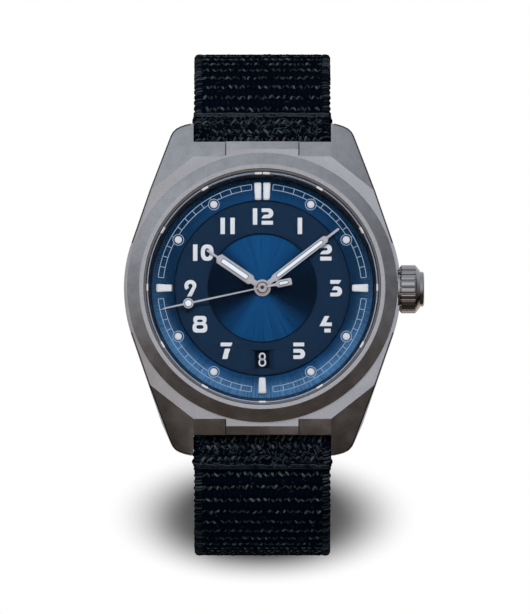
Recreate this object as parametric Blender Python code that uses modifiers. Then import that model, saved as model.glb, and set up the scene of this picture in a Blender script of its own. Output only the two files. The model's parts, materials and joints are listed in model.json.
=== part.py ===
"""Field watch on a two-piece textile strap, modelled piece by piece at real size.

Bench frame: X to the crown, Y to twelve o'clock, Z from the case back up to the crystal.  The empty
"watch" turns the bench frame so that the dial faces world -Y and twelve o'clock is world +Z; its origin
is the middle of the case back's outer face.  Sizes are in metres.
"""
import math

import bmesh
import bpy
from mathutils import Matrix, Vector

TURN = 2 * math.pi
ALONG_X = (0, math.pi / 2, 0)
SHARP_ANGLE = math.radians(35)
SKETCH_SCALE = 1000

# Clearances: resting faces, turning pivots, lume in its slot, pipes and stems, flat seals
SEAT = 0.00003
RUN = 0.00007
SLIP = 0.00002
ARBOR_ROOM = 0.00006
PIPE_ROOM = 0.00015
SEAL_GAP = 0.0001

# How far a cutter passes the metal, and the size of the large ones
OVERCUT = 0.005
CUTTER = 0.015

# Widths, from the crystal outward
CRYSTAL_RADIUS = 0.0172
CRYSTAL_CHAMFER = 0.00042
GASKET_ROOM = 0.00035
GASKET_OUTER_GAP = 0.00005
GASKET_INNER_GAP = 0.00009
BEZEL_LIP = 0.00065
BEZEL_SLOPE = 0.0018
SHOULDER_WIDTH = 0.0005
REHAUT_LEDGE = 0.00015
REHAUT_ROOM = 0.00008
REHAUT_TOP_STEP = 0.0004
REHAUT_STEP = 0.00082
BORE_STEP = 0.0001
DIAL_EASE = 0.00015
BACK_RIM = 0.001
BEZEL_OPENING = CRYSTAL_RADIUS + GASKET_ROOM
BEZEL_LIP_RADIUS = BEZEL_OPENING + BEZEL_LIP
BEZEL_RADIUS = BEZEL_LIP_RADIUS + BEZEL_SLOPE
CASE_RADIUS = BEZEL_RADIUS + SHOULDER_WIDTH
REHAUT_SEAT_RADIUS = CRYSTAL_RADIUS + REHAUT_LEDGE
REHAUT_TOP_INNER = CRYSTAL_RADIUS - REHAUT_TOP_STEP
REHAUT_INNER = CRYSTAL_RADIUS - REHAUT_STEP
BORE_RADIUS = CRYSTAL_RADIUS - BORE_STEP
DIAL_RADIUS = BORE_RADIUS - DIAL_EASE
BACK_SEAT_RADIUS = BORE_RADIUS + BACK_RIM

# Heights, from the case back up
BACK_THICKNESS = 0.001
BACK_GASKET_ROOM = 0.0003
BACK_WALL = 0.00075
BACK_WALL_HEIGHT = 0.0016
BACK_ROOM = 0.00015
BACK_EDGE = 0.0004
BACK_GASKET_STEP = 0.0002
NOTCHES = 6
NOTCH_WIDTH = 0.0026
NOTCH_LENGTH = 0.0014
NOTCH_INSET = 0.00135
NOTCH_DEPTH = 0.00045
BELLY_RISE = 0.0001
ROTOR_ROOM = 0.00029
ROTOR_RIM_HEIGHT = 0.00076
ROTOR_TOP_ROOM = 0.00015
BRIDGE_THICKNESS = 0.0005
TRAIN_HEIGHT = 0.0019
PALLET_LEVEL = 0.00104
PLATE_THICKNESS = 0.00135
RECESS_DEPTH = 0.0005
STEM_LEVEL = 0.0003
DIAL_ROOM = 0.00035
DIAL_THICKNESS = 0.00032
RING_THICKNESS = 0.00015
HAND_THICKNESS = 0.00016
HAND_GAP = 0.0003
HAND_STEP = 0.00018
CRYSTAL_ROOM = 0.00034
CRYSTAL_THICKNESS = 0.00157
CRYSTAL_PROUD = 0.00035
BEZEL_RISE = 0.0012
BEZEL_WALL = 0.00047
BACK_SEAT_Z = BACK_THICKNESS + BACK_GASKET_ROOM
BELLY_Z = BACK_SEAT_Z + BELLY_RISE
ROTOR_Z = BACK_THICKNESS + ROTOR_ROOM
BRIDGE_Z = ROTOR_Z + ROTOR_RIM_HEIGHT + ROTOR_TOP_ROOM
TRAIN_Z = BRIDGE_Z + BRIDGE_THICKNESS
PALLET_Z = TRAIN_Z + PALLET_LEVEL
PLATE_Z = TRAIN_Z + TRAIN_HEIGHT
PLATE_TOP_Z = PLATE_Z + PLATE_THICKNESS
RECESS_Z = PLATE_TOP_Z - RECESS_DEPTH
STEM_Z = PLATE_Z + STEM_LEVEL
DIAL_BASE_Z = PLATE_TOP_Z + DIAL_ROOM
DIAL_Z = DIAL_BASE_Z + DIAL_THICKNESS
RING_Z = DIAL_Z + SEAT + RING_THICKNESS
REHAUT_SEAT_Z = RING_Z + SEAT
HOUR_HAND_Z = RING_Z + HAND_GAP
MINUTE_HAND_Z = HOUR_HAND_Z + HAND_THICKNESS + HAND_STEP
SECONDS_HAND_Z = MINUTE_HAND_Z + HAND_THICKNESS + HAND_STEP
CRYSTAL_BASE_Z = SECONDS_HAND_Z + HAND_THICKNESS + CRYSTAL_ROOM
CRYSTAL_TOP_Z = CRYSTAL_BASE_Z + CRYSTAL_THICKNESS
BEZEL_TOP_Z = CRYSTAL_TOP_Z - CRYSTAL_PROUD
BEZEL_WALL_Z = BEZEL_TOP_Z - BEZEL_RISE
SHOULDER_Z = BEZEL_WALL_Z - BEZEL_WALL - SEAT

# Lugs and strap seat
STRAP_WIDTH = 0.02
STRAP_THICKNESS = 0.0015
STRAP_FOLD = 0.00085
FOLD_LENGTH = 0.0032
FOLD_WALL = 0.00112
BAR_RADIUS = 0.00075
BAR_SLIP = 0.00008
BAR_END = 0.0001
BAR_TIP_RADIUS = 0.0004
BAR_TIP_LENGTH = 0.001
BAR_TIP_ROOM = 0.0001
BAR_HOLE_END = 0.0003
BAR_Z = 0.0034
BAR_INSET = 0.002
LUG_LENGTH = 0.0042
LUG_EASE = 0.0002
LUG_TAPER = math.radians(19.0)
LUG_CORNER = 0.0023
SLOPE_LENGTH = 0.0052
SLOPE_ANGLE = math.radians(27.5)
FACET_RATIO = 0.8
BLOCK_WIDTH = 0.0107
BLOCK_STEP = 0.0011
BELLY_RADIUS = 0.25
END_STEP = 0.0009
UNDERCUT_ROOM = 0.00045
UNDERCUT_RISE = 0.0004
EYE_RADIUS = BAR_RADIUS + BAR_SLIP + FOLD_WALL
LUG_TIP = CASE_RADIUS + LUG_LENGTH
LUG_WALL = STRAP_WIDTH / 2 + LUG_EASE
BAR_Y = LUG_TIP - BAR_INSET
END_WALL = BAR_Y - END_STEP
UNDERCUT_WALL = BAR_Y - EYE_RADIUS - UNDERCUT_ROOM
UNDERCUT_Z = BAR_Z + EYE_RADIUS + UNDERCUT_RISE
SLOPE_START = LUG_TIP - SLOPE_LENGTH

# Dial
MARKER_EDGE = 0.00068
MARKER_LENGTH = 0.0024
RING_GAP = 0.0004
RING_WIDTH = 0.00475
WINDOW_INSET = 0.0023
WINDOW_WIDTH = 0.0022
WINDOW_HEIGHT = 0.0026
WINDOW_FLARE = (0.0014, 0.0004)
MARKER_WIDTH = 0.00125
MARKER_TAPER = 0.8
MARKER_HEIGHT = 0.00035
TWIN_GAP = 0.0003
TWIN_WIDTH = 0.00104
TWIN_TAPER = 0.00022
MARKER_INNER = REHAUT_INNER - MARKER_EDGE - MARKER_LENGTH
RING_OUTER = MARKER_INNER - RING_GAP
RING_INNER = RING_OUTER - RING_WIDTH
WINDOW_Y = WINDOW_INSET - RING_OUTER

# Hands, as clock angles at rest, with the pipes that carry them
HOUR_ANGLE = math.radians(304.36)
MINUTE_ANGLE = math.radians(52.3)
SECONDS_ANGLE = math.radians(257.9)
PIVOT = 0.00013
CENTRE_ARBOR = 0.00033
CANNON_PIPE = 0.00055
HOUR_PIPE = 0.0009
HOUR_HUB_RIM = 0.00035
MINUTE_HUB_RIM = 0.00045
HOUR_INSET = 0.0029
HOUR_NEEDLE = 0.0019
MINUTE_PAST = 0.0011
MINUTE_NEEDLE = 0.0022
HOUR_BASE = 0.00175
MINUTE_BASE = 0.00195
HOUR_LUME = (0.0009, 0.00085)
MINUTE_LUME = (0.0008, 0.00095)
HOUR_TIP = RING_OUTER - HOUR_INSET
HOUR_END = HOUR_TIP - HOUR_NEEDLE
MINUTE_TIP = MARKER_INNER + MINUTE_PAST
MINUTE_END = MINUTE_TIP - MINUTE_NEEDLE
HOUR_SHAPE = {"neck": 0.0008, "width": 0.0015, "needle": 0.00034, "base": HOUR_BASE, "end": HOUR_END,
              "tip": HOUR_TIP, "window": (HOUR_BASE + HOUR_LUME[0], HOUR_END - HOUR_LUME[1]),
              "window_width": 0.00055}
MINUTE_SHAPE = {"neck": 0.0007, "width": 0.0011, "needle": 0.00036, "base": MINUTE_BASE, "end": MINUTE_END,
                "tip": MINUTE_TIP, "window": (MINUTE_BASE + MINUTE_LUME[0], MINUTE_END - MINUTE_LUME[1]),
                "window_width": 0.0004}
HUB_START = 0.01
BATON_SHOULDER = 0.0003
BATON_POINT = 0.00035
NEEDLE_POINT = 0.0002
NEEDLE_TIP = 0.00003
SECONDS_HUB = 0.00075
SECONDS_NEEDLE = 0.00013
SECONDS_DISC_INSET = 0.0021
SECONDS_DISC_AT = MARKER_INNER - SECONDS_DISC_INSET
SECONDS_DISC = 0.00077
SECONDS_DISC_RIM = 0.00027
SECONDS_TAIL = 0.00445
SECONDS_POINT = ((0.0001, 0.0036), (0.00002, 0.00385))
TAIL_NECK = 0.0002
TAIL_HALF = 0.00052
TAIL_CORNER = 0.00014
TAIL_PADDLE = 0.0021
TAIL_SHOULDER = 0.0003
TAIL_LUME = (0.00055, 0.0019)
TAIL_LUME_WIDTH = 0.00045

# Crown and stem
STEM_RADIUS = 0.0005
STEM_SQUARE = 0.0006
STEM_INNER = 0.0046
STEM_LAP = 0.0003
PILOT_LENGTH = 0.0007
PILOT_STEP = 0.00005
SQUARE_LENGTH = 0.004
PINION_AT = 0.007
PINION_LENGTH = 0.0014
PINION_TEETH = 12
PINION_WALL = 0.00035
TUBE_RADIUS = 0.00125
TUBE_ROOM = 0.00005
TUBE_SPACE = 0.0005
TUBE_PROUD = 0.00055
SEAL_STEP = 0.00008
SEAL_WALL = 0.00035
CROWN_RADIUS = 0.00358
CROWN_ROOM = 0.00037
CROWN_EDGE = 0.00025
CROWN_CAP_RADIUS = 0.0026
CROWN_CAP_EDGE = 0.00035
CROWN_KNURL = 0.00235
CROWN_SLOPE = 0.00066
CROWN_CAP = 0.00064
CROWN_WALL = 0.0005
CROWN_INSET = 0.00015
CROWN_SINK = 0.00045
SOCKET_DEPTH = 0.0007
FLUTES = 22
FLUTE_DEPTH = 0.00032
FLUTE_OVER = 0.0002
FLUTE_END = 0.00026
FLUTE_SHAPE = ((-0.2, FLUTE_OVER), (-0.06, -FLUTE_DEPTH), (0.06, -FLUTE_DEPTH), (0.2, FLUTE_OVER))
CROWN_BASE = CASE_RADIUS - CROWN_INSET
CROWN_FLOOR = CASE_RADIUS - CROWN_SINK

# Movement: tooth counts, centre distances and directions
BARREL_TEETH = 56
CENTRE_LEAVES = 8
CENTRE_TEETH = 48
THIRD_LEAVES = 6
THIRD_TEETH = 45
FOURTH_LEAVES = 6
FOURTH_TEETH = 72
ESCAPE_LEAVES = 6
ESCAPE_TEETH = 20
CANNON_LEAVES = 10
MINUTE_TEETH = 30
MINUTE_LEAVES = 8
HOUR_TEETH = 32
DATES = 31
TOOTH_TIP = 0.9
TOOTH_ROOT = 1.15
TRAIN_DISTANCE = 0.00432
BARREL_DISTANCE = 0.0062
MOTION_DISTANCE = 0.0026
BARREL_DIRECTION = math.radians(125)
THIRD_DIRECTION = math.radians(-55)
ESCAPE_DIRECTION = math.radians(-130)
MINUTE_DIRECTION = math.radians(100)
BALANCE_DIRECTION = math.radians(-148.8)
WHEEL_THICKNESS = 0.00016
ESCAPE_GAP = 0.00005
BARREL_MODULE = 2 * BARREL_DISTANCE / (BARREL_TEETH + CENTRE_LEAVES)
CENTRE_MODULE = 2 * TRAIN_DISTANCE / (CENTRE_TEETH + THIRD_LEAVES)
THIRD_MODULE = 2 * TRAIN_DISTANCE / (THIRD_TEETH + FOURTH_LEAVES)
MOTION_MODULE = 2 * MOTION_DISTANCE / (HOUR_TEETH + MINUTE_LEAVES)
ESCAPE_DISTANCE = CENTRE_MODULE * (CENTRE_TEETH / 2 + TOOTH_TIP) + PIVOT + ESCAPE_GAP
ESCAPE_MODULE = 2 * ESCAPE_DISTANCE / (FOURTH_TEETH + ESCAPE_LEAVES)

# Movement: plate, bridges and wheel levels above the bridges
PLATE_RIM = 0.0011
DATE_RIM = 0.0004
DATE_INSIDE = 0.002
DATE_OUTSIDE = 0.0018
DATE_INNER = -WINDOW_Y - DATE_INSIDE
DATE_OUTER = -WINDOW_Y + DATE_OUTSIDE
BARREL_REACH = BARREL_DISTANCE + BARREL_MODULE * (BARREL_TEETH / 2 + TOOTH_TIP)
PLATE_RADIUS = max(BARREL_REACH + PLATE_RIM, DATE_OUTER + DATE_RIM)
RECESS_RADIUS = 0.0068
CHANNEL_ROOM = 0.00055
CHANNEL_END = 0.0002
CHANNEL_DROP = 0.0013
POST_RADIUS = 0.0002
POST_HEIGHT = 0.0007
POST_SINK = 0.0003
HOLDER_ROOM = 0.00012
HOLDER_GAP = 0.00015
BRIDGE_INSET = 0.0002
TRAIN_BRIDGE_ARC = (math.radians(-138), math.radians(68))
TRAIN_BRIDGE_INNER = 0.0004
BARREL_BRIDGE_ARC = (math.radians(72), math.radians(200))
BARREL_BRIDGE_INNER = 0.0016
COCK_HALF_ARC = 0.15
COCK_REACH = 0.001
FOOT_WIDTH = 0.00055
FOOT_EDGE = 0.00005
FOOT_TURN = 0.02
FOOT_SINK = 0.0002
PIVOT_INSET = 0.0002
PIVOT_DEPTH = 0.0003
BARREL_ARBOR = 0.0004
BARREL_LEVEL = 0.0011
DRUM_LEVEL = 0.0005
DRUM_INSET = 0.0003
CENTRE_LEVEL = 0.00156
CENTRE_PINION = 0.00054
THIRD_LEVEL = 0.0006
THIRD_PINION = (-0.00014, 0.00024)
FOURTH_LEVEL = 0.00025
FOURTH_PINION = (0.00005, 0.00063)
FOURTH_TAIL = 0.00017
SECONDS_PROUD = 0.0001
ESCAPE_PINION = (-0.00009, 0.00025)
ESCAPE_RADIUS = 0.0018
CLUB_TOOTH = ((0, 0.76), (0.35, 1), (0.5, 0.97))
PALLET_REACH = 0.00225
PALLET_TAIL = 0.00014
FORK_GAP = 0.00018
FORK_NOTCH = 0.00025
FORK_HORNS = ((0.00012, 0), (0.0003, 0), (0.0003, 0.0002), (0.00014, 0.00055))
PALLET_ARMS = ((0.00022, -0.00025), (0.00125, -0.0001), (0.00125, 0.0006), (0.00095, 0.0006),
               (0.00095, 0.0002))
BALANCE_RADIUS = 0.00295
BALANCE_RIM = 0.0005
BALANCE_HUB = 0.0008
BALANCE_ARMS = 0.4
BALANCE_ARM_ANGLE = 0.22
BALANCE_LEVEL = 0.00035
BALANCE_HEIGHT = 0.00035
BALANCE_GAP = 0.00032
ROLLER_RADIUS = 0.00045
BALANCE_DISTANCE = PLATE_RADIUS - BRIDGE_INSET - FOOT_WIDTH - BALANCE_GAP - BALANCE_RADIUS
SPRING_TURNS = 4
SPRING_INNER = 0.0004
SPRING_OUTER = 0.0021
SPRING_WIDTH = 0.0001
SPRING_LEVEL = 0.00006
SPRING_HEIGHT = 0.00014
STUD_RADIUS = 0.00016
STUD_GAP = 0.00004
STUD_HEIGHT = 0.00025
CANNON_LEVEL = 0.00005
CANNON_HEIGHT = 0.00026
CANNON_ROOM = 0.00005
CANNON_PROUD = 0.00006
MINUTE_LEVEL = 0.00009
MINUTE_PINION = (0.00015, 0.00063)
HOUR_LEVEL = 0.00043
HOUR_ROOM = 0.00009
HOUR_PROUD = 0.00004
DATE_TOOTH = 0.00035
DATE_HEIGHT = 0.00017
BEARING_RADIUS = 0.0014
BEARING_ROOM = 0.00012
BEARING_FLANGE = 0.00045
FLANGE_SPAN = (0.00004, 0.00019)
ROTOR_ARC = (math.radians(188), math.radians(352))
ROTOR_RADIUS = 0.0124
ROTOR_HUB = 0.0029
ROTOR_HUB_SPAN = (0.00001, 0.00041)
ROTOR_RIM = 0.0026
ROTOR_LAP = 0.0005
ROTOR_WEB = (0.00006, 0.00031)

# Strap halves, which narrow towards the buckle, with their loop, buckle and keepers
SHORT_LENGTH = 0.065
LONG_LENGTH = 0.1
STRAP_NARROWING = 0.002
END_WIDTH = STRAP_WIDTH - STRAP_NARROWING
NARROW_FROM = 0.037
NARROW_TO = 0.044
LOOP_SWELL = 0.0139
LOOP_Z = -0.019
SEGMENT = 0.0035
END_GAP = 0.004
TIP_LENGTH = 0.008
HOLES = 7
HOLE_PITCH = 0.0065
HOLE_RADIUS = 0.0009
FIRST_HOLE = 0.021
SLOT_ROOM = 0.0005
SLOT_DEPTH = 0.0055
BUCKLE_LENGTH = 0.013
BUCKLE_ARM = 0.00165
BUCKLE_EASE = 0.00035
BUCKLE_BAR = 0.0027
BUCKLE_THICKNESS = 0.002
BUCKLE_CORNER = 0.0025
BUCKLE_INNER_CORNER = 0.001
BUCKLE_HEEL = 0.0013
BUCKLE_PIN_RADIUS = 0.0005
BUCKLE_PIN_ROOM = 0.00005
BUCKLE_PIN_CAP = 0.0003
BUCKLE_PIN_END = 0.0005
BUCKLE_EYE = 0.0014
TONGUE_WIDTH = 0.0022
TONGUE_THICKNESS = 0.0009
TONGUE_EYE = 0.00065
TONGUE_LIFT = 0.00006
TONGUE_BEND = 0.0007
TONGUE_KNEE = 0.0002
TONGUE_OVER = (0.0003, 0.0001)
KEEPER_LENGTH = 0.005
KEEPER_WALL = 0.0007
KEEPER_ROOM = 0.00025
KEEPER_EASE = 0.0004
KEEPER_INSET = 0.007
KEEPER_PITCH = 0.011
LOOP_RISE = BAR_Y + LOOP_SWELL
LOOP_FRONT = (LOOP_SWELL ** 2 + (BAR_Z - LOOP_Z) ** 2) / (2 * LOOP_SWELL)
LOOP_MIDDLE = LOOP_RISE - LOOP_FRONT
LOOP_SWEEP = math.atan2(BAR_Z - LOOP_Z, BAR_Y - LOOP_MIDDLE)
LOOP_BACK = SHORT_LENGTH + BUCKLE_LENGTH + END_GAP + LONG_LENGTH - 2 * LOOP_FRONT * LOOP_SWEEP
LOOP_STRAIGHT = (LOOP_BACK - math.pi * LOOP_RISE) / 2
FIXED_KEEPER_AT = SHORT_LENGTH - KEEPER_INSET
SLIDING_KEEPER_AT = FIXED_KEEPER_AT - KEEPER_PITCH


def empty(name, parent=None, turn=(0, 0, 0)):
    """Frame that other objects hang from."""
    frame = bpy.data.objects.new(name, None)
    frame.parent = parent
    frame.rotation_euler = turn
    PARTS.objects.link(frame)
    return frame


def collection(name):
    """Collection in the scene."""
    group = bpy.data.collections.new(name)
    bpy.context.scene.collection.children.link(group)
    return group


def finish(name, colour, roughness, metallic=0.0, clear=0.0):
    """Principled material with plain values."""
    material = bpy.data.materials.new(name)
    material.use_nodes = True
    shader = material.node_tree.nodes["Principled BSDF"]
    shader.inputs["Base Color"].default_value = (*colour, 1.0)
    shader.inputs["Roughness"].default_value = roughness
    shader.inputs["Metallic"].default_value = metallic
    shader.inputs["Transmission Weight"].default_value = clear
    return material


def place(name, mesh, at=(0, 0, 0), tilt=(0, 0, 0), parent=None):
    """Object for a mesh, set on the bench."""
    piece = bpy.data.objects.new(name, mesh)
    piece.parent = parent or WATCH
    piece.location = at
    piece.rotation_euler = tilt
    PARTS.objects.link(piece)
    return piece


def plate(name, loops, low, high, **where):
    """Flat piece: closed outlines, the inner ones holes, drawn enlarged and extruded from low to high."""
    curve = bpy.data.curves.new(name, "CURVE")
    curve.dimensions = "2D"
    curve.fill_mode = "BOTH"
    curve.extrude = (high - low) / 2 * SKETCH_SCALE
    for loop in loops:
        spline = curve.splines.new("POLY")
        spline.points.add(len(loop) - 1)
        for point, (x, y) in zip(spline.points, loop):
            point.co = (x * SKETCH_SCALE, y * SKETCH_SCALE, 0, 1)
        spline.use_cyclic_u = True
    sketch = bpy.data.objects.new(name, curve)
    mesh = bpy.data.meshes.new_from_object(sketch)
    mesh.transform(Matrix.Translation((0, 0, (low + high) / 2)) @ Matrix.Scale(1 / SKETCH_SCALE, 4))
    weld(mesh)
    bpy.data.objects.remove(sketch)
    bpy.data.curves.remove(curve)
    return place(name, mesh, **where)


def weld(mesh):
    """Join the caps to the walls and face everything outward."""
    shape = bmesh.new()
    shape.from_mesh(mesh)
    bmesh.ops.remove_doubles(shape, verts=shape.verts, dist=1e-7)
    bmesh.ops.recalc_face_normals(shape, faces=shape.faces)
    shape.to_mesh(mesh)
    shape.free()


def turned(name, profile, steps, ring=False, **where):
    """Turned piece: a (radius, height) profile swept round the local Z axis."""
    mesh = bpy.data.meshes.new(name)
    links = [(i, i + 1) for i in range(len(profile) - 1)]
    if ring:
        links.append((len(profile) - 1, 0))
    mesh.from_pydata([(radius, 0, height) for radius, height in profile], links, [])
    piece = place(name, mesh, **where)
    sweep = piece.modifiers.new("Turn", "SCREW")
    sweep.axis = "Z"
    sweep.angle = TURN
    sweep.steps = steps
    sweep.render_steps = steps
    sweep.use_merge_vertices = True
    sweep.merge_threshold = 1e-7
    return piece


def rod(name, radius, low, high, count=16, **where):
    """Round bar along the local Z axis."""
    shape = bmesh.new()
    middle = Matrix.Translation((0, 0, (low + high) / 2))
    bmesh.ops.create_cone(shape, cap_ends=True, segments=count, radius1=radius, radius2=radius,
                          depth=high - low, matrix=middle)
    return solid(name, shape, **where)


def block(name, low, high, flare=(0, 0), **where):
    """Box between two corners; flare widens its top face."""
    shape = bmesh.new()
    bmesh.ops.create_cube(shape, size=1)
    for vert in shape.verts:
        wide = (*flare, 0) if vert.co.z > 0 else (0, 0, 0)
        vert.co = [(a + b) / 2 + c * (b - a + w) for a, b, c, w in zip(low, high, vert.co, wide)]
    return solid(name, shape, **where)


def solid(name, shape, **where):
    """Object from a finished bmesh."""
    mesh = bpy.data.meshes.new(name)
    shape.to_mesh(mesh)
    shape.free()
    return place(name, mesh, **where)


def combine(piece, operation, tools):
    """Boolean modifiers on a piece; the tools stay in the file as hidden helpers."""
    for tool in tools:
        step = piece.modifiers.new(tool.name, "BOOLEAN")
        step.operation = operation
        step.solver = "EXACT"
        step.object = tool
        tool.hide_render = True
        tool.display_type = "WIRE"
        if tool.name in PARTS.objects:
            PARTS.objects.unlink(tool)
            CUTTERS.objects.link(tool)
    return piece


def fuse(piece, *tools):
    """Add the tools to the piece."""
    return combine(piece, "UNION", tools)


def cut(piece, *tools):
    """Take the tools away from the piece."""
    return combine(piece, "DIFFERENCE", tools)


def dress(material, *pieces):
    """Give pieces their material and smooth shading on their round faces."""
    for piece in pieces:
        piece.data.materials.append(material)
        piece.data.shade_smooth()
        piece.data.set_sharp_from_angle(angle=SHARP_ANGLE)


def arc(radius, start, end, count, centre=(0, 0)):
    """Points along a circular arc, both ends included."""
    steps = [start + (end - start) * i / (count - 1) for i in range(count)]
    return [(centre[0] + radius * math.cos(a), centre[1] + radius * math.sin(a)) for a in steps]


def circle(radius, count, centre=(0, 0)):
    """Points round a full circle."""
    return arc(radius, 0, TURN * (count - 1) / count, count, centre)


def polar(radius, angle):
    """Point at a distance and direction from the centre."""
    return (radius * math.cos(angle), radius * math.sin(angle))


def sector(inner, outer, start, end, count=14):
    """Outline of a ring sector."""
    return arc(outer, start, end, count) + arc(inner, end, start, max(count // 2, 4))


def rectangle(wide, low, high):
    """Outline of a rectangle centred on the Y axis."""
    return [(-wide / 2, low), (wide / 2, low), (wide / 2, high), (-wide / 2, high)]


def mirrored(right):
    """Closed outline from its right-hand side, listed from the bottom up."""
    return right + [(-x, y) for x, y in reversed(right)]


def teeth(count, module, toward, gap=False):
    """Gear outline of pointed teeth with a tooth, or a gap, facing the direction of its partner."""
    pitch = TURN / count
    first = toward + (pitch / 2 if gap else 0)
    outline = []
    for i in range(count):
        middle = first + i * pitch
        outline += [polar(module * (count / 2 + TOOTH_TIP), middle),
                    polar(module * (count / 2 - TOOTH_ROOT), middle + pitch / 2)]
    return outline


def case_outline():
    """Round case running into four tapered lugs; each lug end is square to its side."""
    side = Vector(polar(1, LUG_TAPER))
    along = Vector((-side.y, side.x))
    reach = along.dot(Vector((LUG_WALL, LUG_TIP)))
    corner = side * (CASE_RADIUS - LUG_CORNER) + along * (reach - LUG_CORNER)
    quarter = arc(CASE_RADIUS, 0, LUG_TAPER, 9)
    quarter += arc(LUG_CORNER, LUG_TAPER, LUG_TAPER + math.pi / 2, 6, corner)
    quarter += [(LUG_WALL, LUG_TIP)]
    upper = quarter + [(-x, y) for x, y in reversed(quarter)]
    return upper + [(-x, -y) for x, y in upper[1:-1]]


def make_case():
    """Case middle: lugs with sloped facets, strap slots, stepped bore, crown recess and bar holes."""
    above, below, beyond = SHOULDER_Z + OVERCUT, -OVERCUT, LUG_TIP + OVERCUT
    case = plate("case_middle", [case_outline()], 0, SHOULDER_Z)
    belly = rod("belly", BELLY_RADIUS, -2 * CASE_RADIUS, 2 * CASE_RADIUS, 240,
                at=(0, 0, BELLY_Z - BELLY_RADIUS), tilt=ALONG_X)
    bore = turned("bore", [(0, above), (REHAUT_SEAT_RADIUS, above), (REHAUT_SEAT_RADIUS, REHAUT_SEAT_Z),
                           (BORE_RADIUS, REHAUT_SEAT_Z), (BORE_RADIUS, BACK_SEAT_Z),
                           (BACK_SEAT_RADIUS, BACK_SEAT_Z), (BACK_SEAT_RADIUS, below), (0, below)], 56)
    crown_at = {"at": (0, 0, STEM_Z), "tilt": ALONG_X}
    recess = rod("crown_recess", CROWN_RADIUS + CROWN_ROOM, CROWN_FLOOR, CASE_RADIUS + OVERCUT, 28,
                 **crown_at)
    tube_hole = rod("tube_hole", TUBE_RADIUS + TUBE_ROOM, PLATE_RADIUS, CASE_RADIUS + OVERCUT, 16, **crown_at)
    cut(case, belly, bore, recess, tube_hole)
    fall, half = math.tan(SLOPE_ANGLE), BLOCK_WIDTH / 2
    for end in (1, -1):
        tilt = (-SLOPE_ANGLE * end, 0, 0)
        facing = (0, 0, 0 if end > 0 else math.pi)
        cut(case, block("block_slope", (-half, -CUTTER, 0), (half, CUTTER, CUTTER),
                        at=(0, end * (SLOPE_START + BLOCK_STEP), SHOULDER_Z), tilt=tilt),
            block("strap_slot", (-LUG_WALL, END_WALL, below), (LUG_WALL, beyond, above), tilt=facing),
            block("undercut", (-LUG_WALL, UNDERCUT_WALL, below), (LUG_WALL, beyond - SEAT, UNDERCUT_Z),
                  tilt=facing))
        for side in (1, -1):
            inner, outer = sorted((side * half, side * 2 * CUTTER))
            cut(case, block("lug_slope", (inner, -CUTTER, 0), (outer, CUTTER, CUTTER),
                            at=(0, end * SLOPE_START, SHOULDER_Z), tilt=tilt))
            normal = Vector((side * fall * FACET_RATIO, end * fall, 1))
            facet = Vector((0, 0, 1)).rotation_difference(normal).to_euler()
            cut(case, block("lug_facet", (-2 * CUTTER, -2 * CUTTER, 0), (2 * CUTTER, 2 * CUTTER, CUTTER),
                            at=(side * LUG_WALL, end * SLOPE_START, SHOULDER_Z), tilt=facet),
                rod("bar_hole", BAR_TIP_RADIUS + BAR_TIP_ROOM, LUG_WALL - OVERCUT,
                    LUG_WALL + BAR_TIP_LENGTH + BAR_HOLE_END, 10, at=(0, end * BAR_Y, BAR_Z),
                    tilt=(0, side * math.pi / 2, 0)))
    return case


def make_crystal_side():
    """Bezel, crystal, its gasket and the sloped ring round the dial."""
    bezel = turned("bezel", [(BEZEL_OPENING, BEZEL_TOP_Z), (BEZEL_LIP_RADIUS, BEZEL_TOP_Z),
                             (BEZEL_RADIUS, BEZEL_WALL_Z), (BEZEL_RADIUS, SHOULDER_Z + SEAT),
                             (BEZEL_OPENING, SHOULDER_Z + SEAT)], 64, ring=True)
    crystal = turned("crystal", [(0, CRYSTAL_TOP_Z), (CRYSTAL_RADIUS - CRYSTAL_CHAMFER, CRYSTAL_TOP_Z),
                                 (CRYSTAL_RADIUS, CRYSTAL_TOP_Z - CRYSTAL_CHAMFER),
                                 (CRYSTAL_RADIUS, CRYSTAL_BASE_Z), (0, CRYSTAL_BASE_Z)], 56)
    gasket = plate("crystal_gasket", [circle(BEZEL_OPENING - GASKET_OUTER_GAP, 32),
                                      circle(CRYSTAL_RADIUS + GASKET_INNER_GAP, 32)],
                   CRYSTAL_BASE_Z + SEAT, BEZEL_TOP_Z - SEAL_GAP)
    outer, top, base = REHAUT_SEAT_RADIUS - REHAUT_ROOM, CRYSTAL_BASE_Z - SEAT, REHAUT_SEAT_Z + SEAT
    rehaut = turned("rehaut_ring", [(REHAUT_TOP_INNER, top), (outer, top), (outer, base),
                                    (REHAUT_INNER, base)], 40, ring=True)
    return bezel, crystal, gasket, rehaut


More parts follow.
